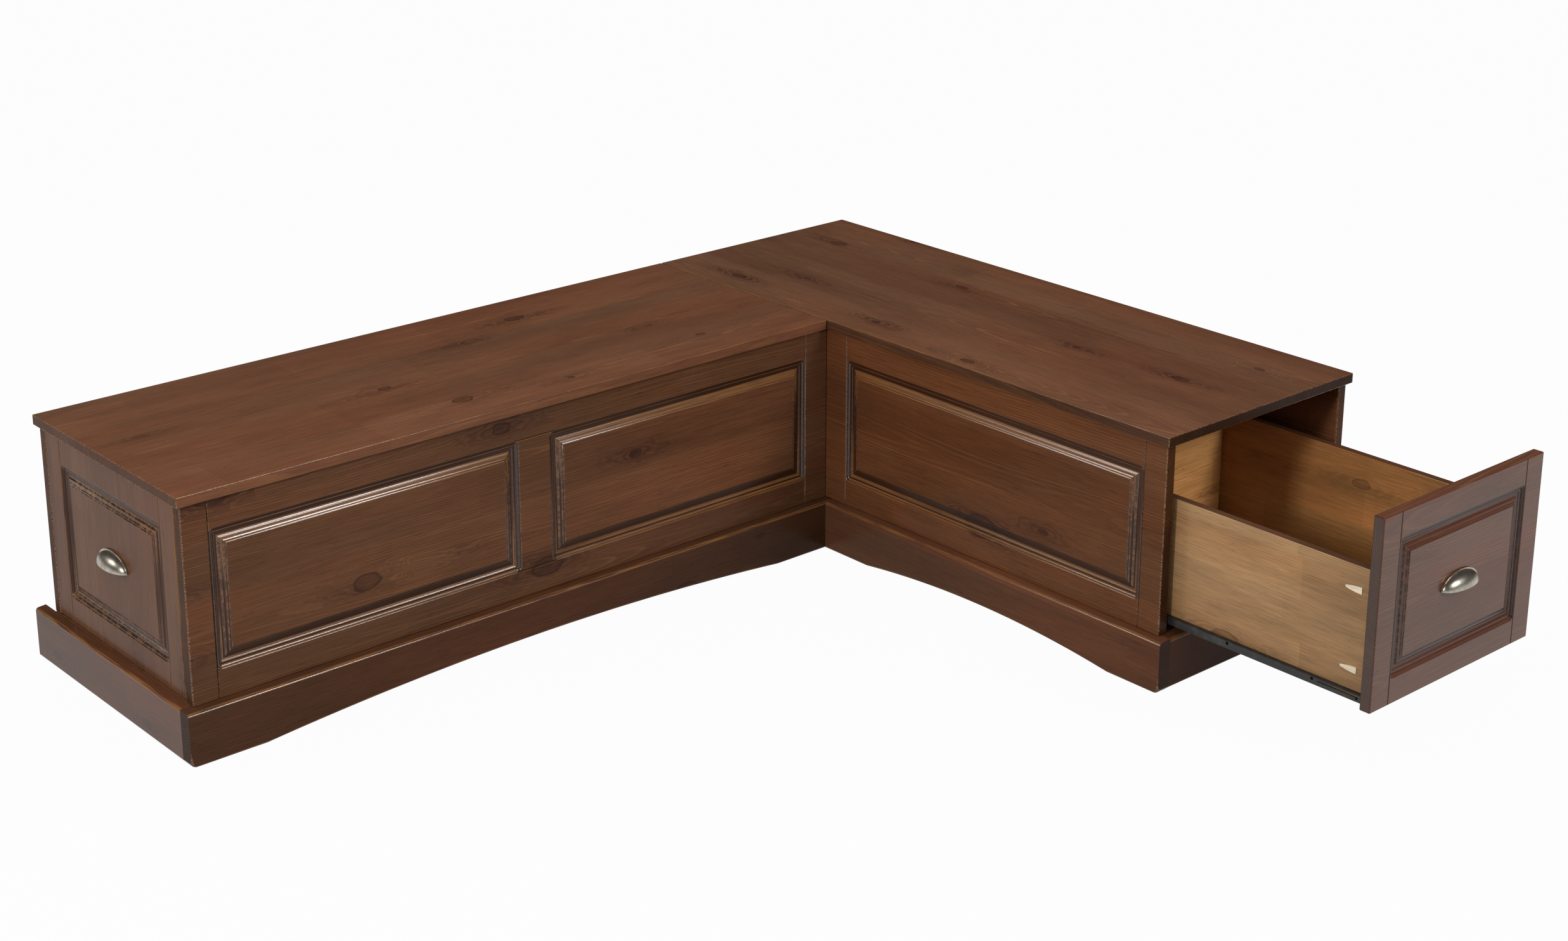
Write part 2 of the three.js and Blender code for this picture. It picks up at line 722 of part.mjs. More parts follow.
function makePull(unit) {
  const turn = new THREE.Matrix4().makeBasis(yAxis, new THREE.Vector3(-1, 0, 0), new THREE.Vector3(0, 0, 1));
  const geometry = pullGeometry().applyMatrix4(turn);
  const middle = (innerFront + innerBack) / 2;
  place(unit, 'cup_pull', geometry.translate(-seam - unit.open, middle, pullBottom), agedNickel);
}

[leftUnit, rightUnit].forEach((unit) => {
  makeTop(unit);
  makeCase(unit);
  makePlinth(unit);
  makeBottom(unit, unit === rightUnit);
  makeDrawer(unit);
  makeSlides(unit);
  makePull(unit);
});
makeCornerRail(rightUnit);

// The origin moves from the inner corner of the seats to the middle of the footprint.
const footprintLow = [leftUnit, rightUnit].map((unit) => {
  const pullReach = unit.open + seam + pullProjection;
  return (unit === leftUnit ? leftFreeEnd : rightFreeEnd) - Math.max(pullReach, plinthEndProud);
});
const footprintHigh = topFrontOverhang + caseDepth + endBoardBackReach;
bench.position.set(-(footprintLow[0] + footprintHigh) / 2, -(footprintLow[1] + footprintHigh) / 2, 0);

export default bench;
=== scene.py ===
import json
import math

import bpy
from mathutils import Matrix, Vector

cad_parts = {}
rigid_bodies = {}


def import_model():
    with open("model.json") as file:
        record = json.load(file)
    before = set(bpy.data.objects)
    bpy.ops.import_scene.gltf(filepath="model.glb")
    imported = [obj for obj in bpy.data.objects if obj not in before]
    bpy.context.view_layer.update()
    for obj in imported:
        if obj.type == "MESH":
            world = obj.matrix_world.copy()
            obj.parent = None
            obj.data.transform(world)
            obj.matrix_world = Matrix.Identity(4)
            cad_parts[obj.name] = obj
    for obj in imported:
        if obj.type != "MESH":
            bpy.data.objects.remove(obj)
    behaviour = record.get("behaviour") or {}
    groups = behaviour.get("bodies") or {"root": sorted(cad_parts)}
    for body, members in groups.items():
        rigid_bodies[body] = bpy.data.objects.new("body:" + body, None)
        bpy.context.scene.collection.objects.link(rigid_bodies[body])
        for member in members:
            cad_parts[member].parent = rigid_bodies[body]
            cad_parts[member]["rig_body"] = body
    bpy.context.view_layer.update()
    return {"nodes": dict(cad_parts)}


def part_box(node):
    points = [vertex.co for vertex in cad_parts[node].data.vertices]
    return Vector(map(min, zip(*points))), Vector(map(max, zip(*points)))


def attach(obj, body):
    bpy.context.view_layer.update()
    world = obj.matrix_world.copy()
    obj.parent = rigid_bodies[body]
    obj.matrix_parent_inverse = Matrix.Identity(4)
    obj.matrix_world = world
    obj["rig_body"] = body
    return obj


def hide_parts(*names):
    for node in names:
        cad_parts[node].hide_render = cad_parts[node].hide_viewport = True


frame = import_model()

# The corner storage bench, dressed: stained pine cases with milled raised panels, one drawer shut and
# one pulled out. Metres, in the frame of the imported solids.

nodes = frame["nodes"]
MM = 0.001

# Axes
ACROSS_X = Vector((1, 0, 0))
ACROSS_Y = Vector((0, 1, 0))
UP = Vector((0, 0, 1))

# How well two directions line up: more than this counts as along, less than this as across
ALONG_SHARE = 0.9
ACROSS_SHARE = 0.5

# How close together points count as one place, and how close they are merged
NEAR = 0.1 * MM
MERGE_REACH = 0.01 * MM
PULL_MERGE_REACH = 0.02 * MM

# Turns of the surface from one face to the next: those left smooth, and those that make an edge
SMOOTH_TURN = math.radians(32)
CURVED_TURN = math.radians(40)
SHARP_TURN = math.radians(25)
PULL_SHARP_TURN = math.radians(50)
FLAT_TURN = math.radians(1)

# Rounded edges
SEAT_ARRIS = 1.4 * MM
BOARD_ARRIS = 2.0 * MM
SMALL_ARRIS = 0.6 * MM
DRAWER_ARRIS = 0.9 * MM
METAL_ARRIS = 0.25 * MM
PULL_ARRIS = 0.3 * MM
ARRIS_STEPS = 3
SOFT_STEPS = 2
# A face is an arris or a slope where the largest part of its normal is less than this
SQUARE_SHARE = 0.985

# Raised panels, as measured on the photograph
OUTLINE_BOTTOM = 142 * MM
OUTLINE_TOP = 384 * MM
OUTER_MARGIN = 45 * MM
INNER_MARGIN = 52 * MM
CENTRE_STILE = 62 * MM
DRAWER_MARGIN = 45 * MM
OUTLINE_RADIUS = 11 * MM
OUTLINE_STEPS = 6
CORNER_REST = 0.5 * MM
MOULDING_WIDTH = 32 * MM
MOULDING_DEPTH = 6.5 * MM
FIELD_DEPTH = 0.5 * MM
GROOVE_WIDTH = 3 * MM
GROOVE_DEPTH = 2 * MM
CUT_OVERRUN = 3 * MM
# Height and side of a triangle drawn in a circle of radius 1
TRIANGLE_HEIGHT = 1.5
TRIANGLE_SIDE = math.sqrt(3)

# Shares of the moulding's width and depth, from the outline in to the raised field: a round-over, a
# quirk, an ogee, a small bead, the deep line in the middle, a cove, a second rise, a fine quirk and a
# round-over
MOULDING_SHARES = (
    (0.000, 0.000), (0.031, 0.023), (0.062, 0.092), (0.081, 0.169), (0.091, 0.262),
    (0.112, 0.269), (0.144, 0.300), (0.175, 0.362), (0.203, 0.454), (0.222, 0.554),
    (0.234, 0.638), (0.250, 0.654), (0.275, 0.615), (0.300, 0.600), (0.334, 0.608),
    (0.362, 0.662), (0.388, 0.754), (0.412, 0.831), (0.450, 0.908), (0.481, 0.969),
    (0.506, 1.000), (0.538, 0.977), (0.575, 0.915), (0.619, 0.815), (0.662, 0.692),
    (0.694, 0.615), (0.725, 0.577), (0.756, 0.538), (0.794, 0.462), (0.838, 0.362),
    (0.881, 0.262), (0.900, 0.238), (0.912, 0.285), (0.931, 0.246), (0.956, 0.162),
    (0.981, 0.108), (1.000, 0.077),
)

# Depths of the profile's sharp inner lines, which are painted darkest, as stain gathered there and as
# painted shade
QUIRK_SHARES = (0.269, 0.285, 0.308, 0.654, 1.000)
QUIRK_REACH = 0.003
# Depths are compared with a little more than these, so that rounding doesn't matter
PAST_SHARE = 1.01
# Share of the moulding's width past which its slope climbs to the raised field
DEEPEST_SHARE = 0.506

# Plinth
CROWN_WIDTH = 18 * MM
CROWN_FALL = 1.5 * MM
CROWN_ROUND = 5 * MM
CROWN_STEPS = 8
PLINTH_EDGE = 3.5 * MM
PLINTH_EDGE_STEPS = 3
FOOT_CORNER = 10 * MM
FOOT_STEPS = 5
LEFT_FOOT = 136 * MM
LEFT_RISE = 25.5 * MM
RIGHT_FOOT = 114 * MM
RIGHT_RISE = 20 * MM
ARCH_SIDES = 2048
ARCH_CUT = 200 * MM
# The underside's edges lie below the first height, and none of them rises by more than the second
LOW_EDGES = 36 * MM
STEEP_EDGE = 15 * MM

# Cup pull
PULL_RIM = 2.5 * MM
PULL_PLATE = 2.0 * MM
PULL_WALL = 1.6 * MM
PULL_SEGMENTS = 96
PULL_RINGS = 64
RIM_SIDES = 128
POST_RADIUS = 3.5 * MM
POST_SIDES = 24
POST_SPACING = 64 * MM
# Share of the pull's projection that the posts reach
POST_SHARE = 0.7

# Studio
FLOOR_SIZE = 60.0
FLOOR_GAP = 0.5 * MM
FLOOR_WHITENING = 0.97
WALL_RADIUS = 7.0
WALL_HEIGHT = 5.0
WALL_SIDES = 64
WALL_SINK = 5 * MM
HORIZON_LEVEL = 0.10
CEILING_LEVEL = 1.42

# Camera, fitted to the part's corners in the photograph
CAMERA_PLACE = Vector((-2.5688, -2.8882, 1.8820))
CAMERA_HEADING = math.radians(40.902)
CAMERA_DROP = math.radians(17.121)
CAMERA_SHIFT = (0.0172, -0.12)
CAMERA_REACH = 200
FILM_WIDTH = 36.0
FOCAL_PIXELS = 3937.2
PHOTO_PIXELS = 2473


# Selection and editing, as by hand

def make_active(piece):
    bpy.ops.object.select_all(action="DESELECT")
    piece.select_set(True)
    bpy.context.view_layer.objects.active = piece


def pick(piece, kind, wanted):
    """Goes into edit mode with only the wanted corners, edges or faces of the piece selected."""
    make_active(piece)
    bpy.ops.object.mode_set(mode="EDIT")
    bpy.ops.mesh.select_mode(type=kind)
    bpy.ops.mesh.select_all(action="DESELECT")
    bpy.ops.object.mode_set(mode="OBJECT")
    mesh = piece.data
    if kind == "VERT":
        for corner in mesh.vertices:
            corner.select = wanted(corner.co)
    elif kind == "EDGE":
        for edge in mesh.edges:
            ends = [mesh.vertices[i].co for i in edge.vertices]
            edge.select = wanted(*ends)
    else:
        for face in mesh.polygons:
            face.select = wanted(face.center, face.normal)
    bpy.ops.object.mode_set(mode="EDIT")


def leave_edit():
    bpy.ops.object.mode_set(mode="OBJECT")


def settle(piece, name):
    """Moves a new primitive's place and size into its mesh, and names it."""
    make_active(piece)
    bpy.ops.object.transform_apply(location=True, rotation=True, scale=True)
    piece.name = name
    piece.data.name = name
    return piece


def turn_to(direction, axis="Z"):
    """The turn that lays an axis along a direction."""
    return direction.to_track_quat(axis, "Y").to_euler()


def block(name, corner, far_corner):
    """A box between two opposite corners."""
    low = Vector(map(min, corner, far_corner))
    high = Vector(map(max, corner, far_corner))
    bpy.ops.object.select_all(action="DESELECT")
    bpy.ops.mesh.primitive_cube_add(size=1, location=(low + high) / 2, scale=high - low)
    return settle(bpy.context.active_object, name)


def round_edges(piece, width, steps=ARRIS_STEPS, wanted=None):
    pick(piece, "EDGE", wanted or (lambda a, b: True))
    bpy.ops.mesh.bevel(offset=width, segments=steps, affect="EDGES")
    leave_edit()


def boolean(piece, tool, operation):
    """Joins or cuts the piece with the tool, and removes the tool."""
    make_active(piece)
    modifier = piece.modifiers.new("cut", "BOOLEAN")
    modifier.operation = operation
    modifier.solver = "EXACT"
    modifier.object = tool
    bpy.ops.object.modifier_apply(modifier=modifier.name)
    bpy.data.objects.remove(tool)
    return piece


def shade(piece, turn=SMOOTH_TURN):
    """Smooth shading that leaves the wide faces flat."""
    make_active(piece)
    bpy.ops.object.shade_smooth_by_angle(angle=turn)
    bpy.ops.object.modifier_add(type="WEIGHTED_NORMAL")
    modifier = piece.modifiers[-1]
    modifier.keep_sharp = True
    bpy.ops.object.modifier_apply(modifier=modifier.name)
    return piece


def merge_corners(piece, reach):
    """Merges corners that lie in one place, and stays in edit mode with all of the piece selected."""
    make_active(piece)
    bpy.ops.object.mode_set(mode="EDIT")
    bpy.ops.mesh.select_mode(type="EDGE")
    bpy.ops.mesh.select_all(action="SELECT")
    bpy.ops.mesh.remove_doubles(threshold=reach)


def round_sharp_edges(width, turn):
    """Rounds the sharp edges of the piece that is in edit mode, and leaves that mode."""
    bpy.ops.mesh.select_all(action="DESELECT")
    bpy.ops.mesh.edges_select_sharp(sharpness=turn)
    bpy.ops.mesh.bevel(offset=width, segments=SOFT_STEPS, affect="EDGES", clamp_overlap=True)
    leave_edit()


def add_object(name, data):
    made = bpy.data.objects.new(name, data)
    bpy.context.scene.collection.objects.link(made)
    return made


def softened(name, node, width):
    """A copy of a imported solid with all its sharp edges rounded."""
    piece = add_object(name, nodes[node].data.copy())
    piece.data.name = name
    piece.data.materials.clear()
    merge_corners(piece, MERGE_REACH)
    bpy.ops.mesh.dissolve_limited(angle_limit=FLAT_TURN)
    round_sharp_edges(width, SHARP_TURN)
    return shade(piece)


def mark_surface(piece, along, outward, spans, face_place):
    """Masks for the stain, the painted light and shade and the lacquer: how deep a point lies below the
    face, whether it lies on one of the profile's inner lines or on its inner slope, and which faces are
    arrises."""
    mesh = piece.data
    labels = ("recess", "quirk", "inner")
    for label in labels:
        mesh.attributes.new(label, "FLOAT", "POINT")
    recess, quirk, inner = [mesh.attributes[label].data for label in labels]
    for corner in mesh.vertices:
        depth = -(corner.co.dot(outward) - face_place)
        place = corner.co.dot(along)
        height = min(corner.co.z - OUTLINE_BOTTOM, OUTLINE_TOP - corner.co.z)
        from_outline = max(min(place - first, last - place, height) for first, last in spans)
        deep = FIELD_DEPTH * PAST_SHARE < depth < MOULDING_DEPTH * PAST_SHARE
        share = depth / MOULDING_DEPTH if deep and from_outline > -NEAR else 0
        on_line = any(abs(share - line) < QUIRK_REACH for line in QUIRK_SHARES)
        climbs = from_outline > DEEPEST_SHARE * MOULDING_WIDTH
        recess[corner.index].value = share
        quirk[corner.index].value = float(on_line)
        inner[corner.index].value = float(climbs)
    mark_arrises(piece)


def mark_arrises(piece):
    mesh = piece.data
    arris = mesh.attributes.new("arris", "FLOAT", "CORNER")
    for face in mesh.polygons:
        squareness = max(abs(part) for part in face.normal)
        for corner in face.loop_indices:
            arris.data[corner].value = float(squareness < SQUARE_SHARE)


# Milled fronts

def moulding_cutter(along, outward, span, face_place):
    """A solid that mills one raised panel out of a front: a rounded block with the moulding on its
    inner end, made by insets that sink and rise."""
    low = along * span[0] + UP * OUTLINE_BOTTOM + outward * face_place
    high = along * span[1] + UP * OUTLINE_TOP + outward * (face_place + CUT_OVERRUN)
    middle = (low + high) / 2
    half_length = (span[1] - span[0]) / 2 - OUTLINE_RADIUS
    half_height = (OUTLINE_TOP - OUTLINE_BOTTOM) / 2 - OUTLINE_RADIUS

    def inner_face(centre, normal):
        aside = centre - middle
        aside -= outward * aside.dot(outward)
        return normal.dot(outward) < -ALONG_SHARE and aside.length < OUTLINE_RADIUS

    def near_corner(place):
        aside = place - middle
        along_off = half_length - abs(aside.dot(along))
        up_off = half_height - abs(aside.z)
        return max(abs(along_off), abs(up_off)) < CORNER_REST * 2

    cutter = block("cutter", low, high)
    round_edges(cutter, OUTLINE_RADIUS, OUTLINE_STEPS,
                lambda a, b: abs((b - a).normalized().dot(outward)) > ALONG_SHARE)
    pick(cutter, "FACE", inner_face)
    rounded = True
    for (across, down), (next_across, next_down) in zip(MOULDING_SHARES, MOULDING_SHARES[1:]):
        bpy.ops.mesh.inset(
            thickness=(next_across - across) * MOULDING_WIDTH,
            depth=(next_down - down) * MOULDING_DEPTH,
            use_even_offset=True,
        )
        if rounded and next_across * MOULDING_WIDTH > OUTLINE_RADIUS - CORNER_REST:
            leave_edit()
            pick(cutter, "EDGE", lambda a, b: (
                (a - b).length < OUTLINE_RADIUS and near_corner(a) and near_corner(b)))
            bpy.ops.mesh.merge(type="COLLAPSE")
            leave_edit()
            pick(cutter, "FACE", inner_face)
            rounded = False
    leave_edit()
    return cutter


def groove_cutter(start, end, outward, face_place):
    """A V-shaped bar along a straight joint line of a front: a three-sided cylinder, scaled to the
    groove's section and laid with one ridge in the board."""
    flare = 1 + CUT_OVERRUN / GROOVE_DEPTH
    direction = (end - start).normalized()
    bpy.ops.object.select_all(action="DESELECT")
    bpy.ops.mesh.primitive_cylinder_add(vertices=3, radius=1, depth=(end - start).length)
    bar = bpy.context.active_object
    bpy.ops.object.mode_set(mode="EDIT")
    bpy.ops.mesh.select_all(action="SELECT")
    across = GROOVE_WIDTH * flare / TRIANGLE_SIDE
    inward = GROOVE_DEPTH * flare / TRIANGLE_HEIGHT
    bpy.ops.transform.resize(value=(across, inward, 1), center_override=(0, 0, 0))
    leave_edit()
    turned = Matrix((direction.cross(outward), -outward, direction)).transposed()
    bar.rotation_euler = turned.to_euler()
    middle = (start + end) / 2
    flat_side = face_place + CUT_OVERRUN - inward / 2
    bar.location = middle - outward * middle.dot(outward) + outward * flat_side
    return settle(bar, "groove")


def milled_front(name, node, along, outward, spans):
    """A solid front board with eased edges, its raised panels and the fine grooves round them."""
    low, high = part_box(node)
    face_place = max(low.dot(outward), high.dot(outward))
    front = block(name, low, high)
    round_edges(front, BOARD_ARRIS)
    for span in spans:
        boolean(front, moulding_cutter(along, outward, span, face_place), "DIFFERENCE")
    grooves = []
    for place in (spans[0][0] + GROOVE_WIDTH / 2, spans[-1][1] - GROOVE_WIDTH / 2):
        start = along * place + UP * (low.z - CUT_OVERRUN)
        end = along * place + UP * (high.z + CUT_OVERRUN)
        grooves.append((start, end))
    for span, next_span in zip(spans, spans[1:]):
        for place in (OUTLINE_BOTTOM + GROOVE_WIDTH / 2, OUTLINE_TOP - GROOVE_WIDTH / 2):
            start = along * (span[1] - OUTLINE_RADIUS) + UP * place
            end = along * (next_span[0] + OUTLINE_RADIUS) + UP * place
            grooves.append((start, end))
    for start, end in grooves:
        boolean(front, groove_cutter(start, end, outward, face_place), "DIFFERENCE")
    mark_surface(front, along, outward, spans, face_place)
    return shade(front)


def plinth_board(name, node, along, outward, foot=None, rise=None):
    """A plinth board: its top falls a little outwards to a rounded edge. Where a foot's length and a
    rise are given, its underside is arched between two feet."""
    low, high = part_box(node)
    board = block(name, low, high)
    face_place = max(low.dot(outward), high.dot(outward))
    free_end = low.dot(along)

    def on_face(a, b):
        return min(a.dot(outward), b.dot(outward)) > face_place - NEAR

    def foot_corner(a, b):
        return max(a.z, b.z) < low.z + NEAR and max(a.dot(along), b.dot(along)) < free_end + NEAR

    def lower_edge(a, b):
        level = abs(a.z - b.z) <= STEEP_EDGE and abs((b - a).normalized().dot(outward)) < ACROSS_SHARE
        return level and max(a.z, b.z) < low.z + LOW_EDGES and on_face(a, b)

    round_edges(board, CROWN_WIDTH, 1, lambda a, b: on_face(a, b) and min(a.z, b.z) > high.z - NEAR)
    pick(board, "VERT", lambda corner: corner.z > high.z - CROWN_WIDTH - NEAR)
    bpy.ops.transform.resize(value=(1, 1, CROWN_FALL / CROWN_WIDTH), center_override=(0, 0, high.z))
    leave_edit()
    round_edges(board, CROWN_ROUND, CROWN_STEPS,
                lambda a, b: on_face(a, b) and min(a.z, b.z) > high.z - CROWN_WIDTH)
    if foot:
        round_edges(board, FOOT_CORNER, FOOT_STEPS, foot_corner)
        arch_low = free_end + foot
        arch_high = high.dot(along) - foot
        half = (arch_high - arch_low) / 2
        radius = (half * half + rise * rise) / (2 * rise)
        centre = along * (arch_low + half) + outward * face_place + UP * (rise - radius)
        bpy.ops.object.select_all(action="DESELECT")
        bpy.ops.mesh.primitive_cylinder_add(
            vertices=ARCH_SIDES, radius=radius, depth=ARCH_CUT, location=centre, rotation=turn_to(outward))
        boolean(board, settle(bpy.context.active_object, "arch"), "DIFFERENCE")
    round_edges(board, PLINTH_EDGE, PLINTH_EDGE_STEPS, lower_edge)
    mark_arrises(board)
    return shade(board, CURVED_TURN)


# Cup pulls

def cup_pull(name, node, along, outward):
    """A quarter of an egg-shaped shell with a thin raised rim at the back and two screw posts inside."""
    low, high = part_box(node)
    middle = (low + high) / 2
    back = min(low.dot(outward), high.dot(outward))
    projection = max(low.dot(outward), high.dot(outward)) - back
    width = abs((high - low).dot(along))
    rise = high.z - low.z
    centre = along * middle.dot(along) + outward * back + UP * low.z

    def stretched(label, size, place):
        """The shape just added, with its turn applied before its size and place."""
        made = bpy.context.active_object
        bpy.ops.object.transform_apply(location=False, rotation=True, scale=False)
        made.scale = [abs(part) for part in size]
        made.location = place
        return settle(made, label)

    def egg(drawn_in, wall):
        bpy.ops.object.select_all(action="DESELECT")
        bpy.ops.mesh.primitive_uv_sphere_add(
            segments=PULL_SEGMENTS, ring_count=PULL_RINGS, radius=1, rotation=turn_to(along))
        size = along * (width / 2 - drawn_in - wall) + outward * (projection - wall)
        return stretched("egg", size + UP * (rise - drawn_in - wall), centre)

    def quarter(shape, past):
        low_cut = centre - along * width - UP * past - outward * past
        high_cut = centre + along * width + UP * width + outward * width
        return boolean(shape, block("keep", low_cut, high_cut), "INTERSECT")

    shell = quarter(egg(PULL_RIM, 0), 0)
    shell.name = name
    bpy.ops.object.select_all(action="DESELECT")
    bpy.ops.mesh.primitive_cylinder_add(
        vertices=RIM_SIDES, radius=1, depth=PULL_PLATE, rotation=turn_to(outward))
    rim_size = along * width / 2 + outward + UP * rise
    rim = quarter(stretched("rim", rim_size, centre + outward * PULL_PLATE / 2), 0)
    boolean(shell, rim, "UNION")
    hollow = quarter(egg(PULL_RIM, PULL_WALL), CUT_OVERRUN)
    boolean(shell, hollow, "DIFFERENCE")
    reach = projection * POST_SHARE
    for side in (-1, 1):
        bpy.ops.object.select_all(action="DESELECT")
        bpy.ops.mesh.primitive_cylinder_add(
            vertices=POST_SIDES, radius=POST_RADIUS, depth=reach, rotation=turn_to(outward),
            location=centre + along * side * POST_SPACING / 2 + UP * rise / 2 + outward * reach / 2)
        post = settle(bpy.context.active_object, "post")
        boolean(post, egg(PULL_RIM, PULL_WALL / 2), "INTERSECT")
        boolean(shell, post, "UNION")
    merge_corners(shell, PULL_MERGE_REACH)
    round_sharp_edges(PULL_ARRIS, PULL_SHARP_TURN)
    shell.data.name = name
    return shade(shell, CURVED_TURN)


# Shader building

class Level:
    """A value that nodes work out over a surface. Sums, differences, products and quotients of levels
    and numbers are levels too."""

    def __init__(self, socket):
        self.socket = socket

    def __add__(self, other):
        return maths("ADD", self, other)

    def __sub__(self, other):
        return maths("SUBTRACT", self, other)

    def __rsub__(self, other):
        return maths("SUBTRACT", other, self)

    def __mul__(self, other):
        return maths("MULTIPLY", self, other)

    def __truediv__(self, other):
        return maths("DIVIDE", self, other)


def tree_of(*values):
    """The node tree that holds the first level among the values."""
    return next(value.socket.id_data for value in values if isinstance(value, Level))


def feed(sockets, values):
    """Links each level to its socket, and sets the sockets of plain numbers, vectors and colours."""
    for key, value in values.items():
        if isinstance(value, Level):
            value.socket.id_data.links.new(value.socket, sockets[key])
        else:
            sockets[key].default_value = value


def add_node(tree, kind, inputs, **settings):
    """The outputs of a new node."""
    made = tree.nodes.new(kind)
    for key, value in settings.items():
        setattr(made, key, value)
    feed(made.inputs, inputs)
    return made.outputs


def maths(operation, *values):
    inputs = dict(enumerate(values))
    return Level(add_node(tree_of(*values), "ShaderNodeMath", inputs, operation=operation)[0])


def largest(first, *others):
    for other in others:
        first = maths("MAXIMUM", first, other)
    return first


def blend_colour(factor, first, second, mode="MIX"):
    inputs = {0: factor, 6: first, 7: second}
    return Level(add_node(tree_of(*inputs.values()), "ShaderNodeMix", inputs, data_type="RGBA",
                          blend_type=mode, clamp_factor=True)[2])


def smooth_step(value, start, end, low=0.0, high=1.0):
    inputs = dict(enumerate((value, start, end, low, high)))
    return Level(add_node(tree_of(value), "ShaderNodeMapRange", inputs, interpolation_type="SMOOTHSTEP")[0])


def noise(vector, detail=2.0, roughness=0.5, scale=1.0):
    inputs = {"Vector": vector, "Scale": scale, "Detail": detail, "Roughness": roughness}
    return Level(add_node(tree_of(vector), "ShaderNodeTexNoise", inputs)[0])


def chance(value, output="Value"):
    """A random number or colour for each value."""
    return Level(add_node(tree_of(value), "ShaderNodeTexWhiteNoise", {"W": value},
                          noise_dimensions="1D")[output])


def split(vector):
    return [Level(part) for part in add_node(tree_of(vector), "ShaderNodeSeparateXYZ", {0: vector})]


def joined(parts):
    return Level(add_node(tree_of(*parts), "ShaderNodeCombineXYZ", dict(enumerate(parts)))[0])


def scaled(parts, sizes):
    """A vector of three levels or numbers, each times its own size."""
    return joined([part * size for part, size in zip(parts, sizes)])


def bumped(height, strength, distance):
    inputs = {"Height": height, "Strength": strength, "Distance": distance}
    return Level(add_node(tree_of(height), "ShaderNodeBump", inputs)[0])


def start_group(name, vectors, numbers):
    """A node group, and the levels that it is given."""
    group = bpy.data.node_groups.new(name, "ShaderNodeTree")
    for labels, kind in ((vectors, "NodeSocketVector"), (numbers, "NodeSocketFloat")):
        for label in labels:
            group.interface.new_socket(name=label, in_out="INPUT", socket_type=kind)
    given = group.nodes.new("NodeGroupInput").outputs
    return group, {label: Level(given[label]) for label in (*vectors, *numbers)}


def end_group(group, results):
    """Gives the group an output for each of its results."""
    for label in results:
        group.interface.new_socket(name=label, in_out="OUTPUT", socket_type="NodeSocketFloat")
    add_node(group, "NodeGroupOutput", results)
    return group


def place_group(tree, group, inputs):
    outputs = add_node(tree, "ShaderNodeGroup", inputs, node_tree=group)
    return {output.name: Level(output) for output in outputs}


# Cells to the metre, or from stave to stave, of the figure's noises: along the grain, across the board
# and into it. A knot cell has at most one knot.
KNOT_CELLS = (3.1, 5.6, 1.0)
SWAY_CELLS = (1.7, 5.0, 1.0)
RIPPLE_CELLS = (9.0, 34.0, 1.0)
DRIFT_CELLS = (0.8, 7.3, 3.1)
RAGGED_CELLS = (26.0, 70.0, 60.0)
STRENGTH_CELLS = (1.9, 20.0, 6.0)
FIBRE_CELLS = (14.0, 520.0, 520.0)
BLOTCH_CELLS = (2.4, 11.0, 8.0)
WARMTH_CELLS = (1.1, 4.0, 5.3)
FLECK_CELLS = (42.0, 760.0, 760.0)
BLOCKS_PER_METRE = 3.4
# How far the rings sway and ripple sideways, how far the heart drifts along a stave and differs from
# stave to stave, and how far the rings bend round a knot
SWAY_REACH = 16 * MM
RIPPLE_REACH = 2.6 * MM
HEART_DRIFT = 150 * MM
HEART_STEP = 35 * MM
KNOT_BEND = 20 * MM
# Steps that give each stave its own rings and its own blocks
STAVE_RING_STEP = 13.7
STAVE_BLOCK_STEP = 5.3


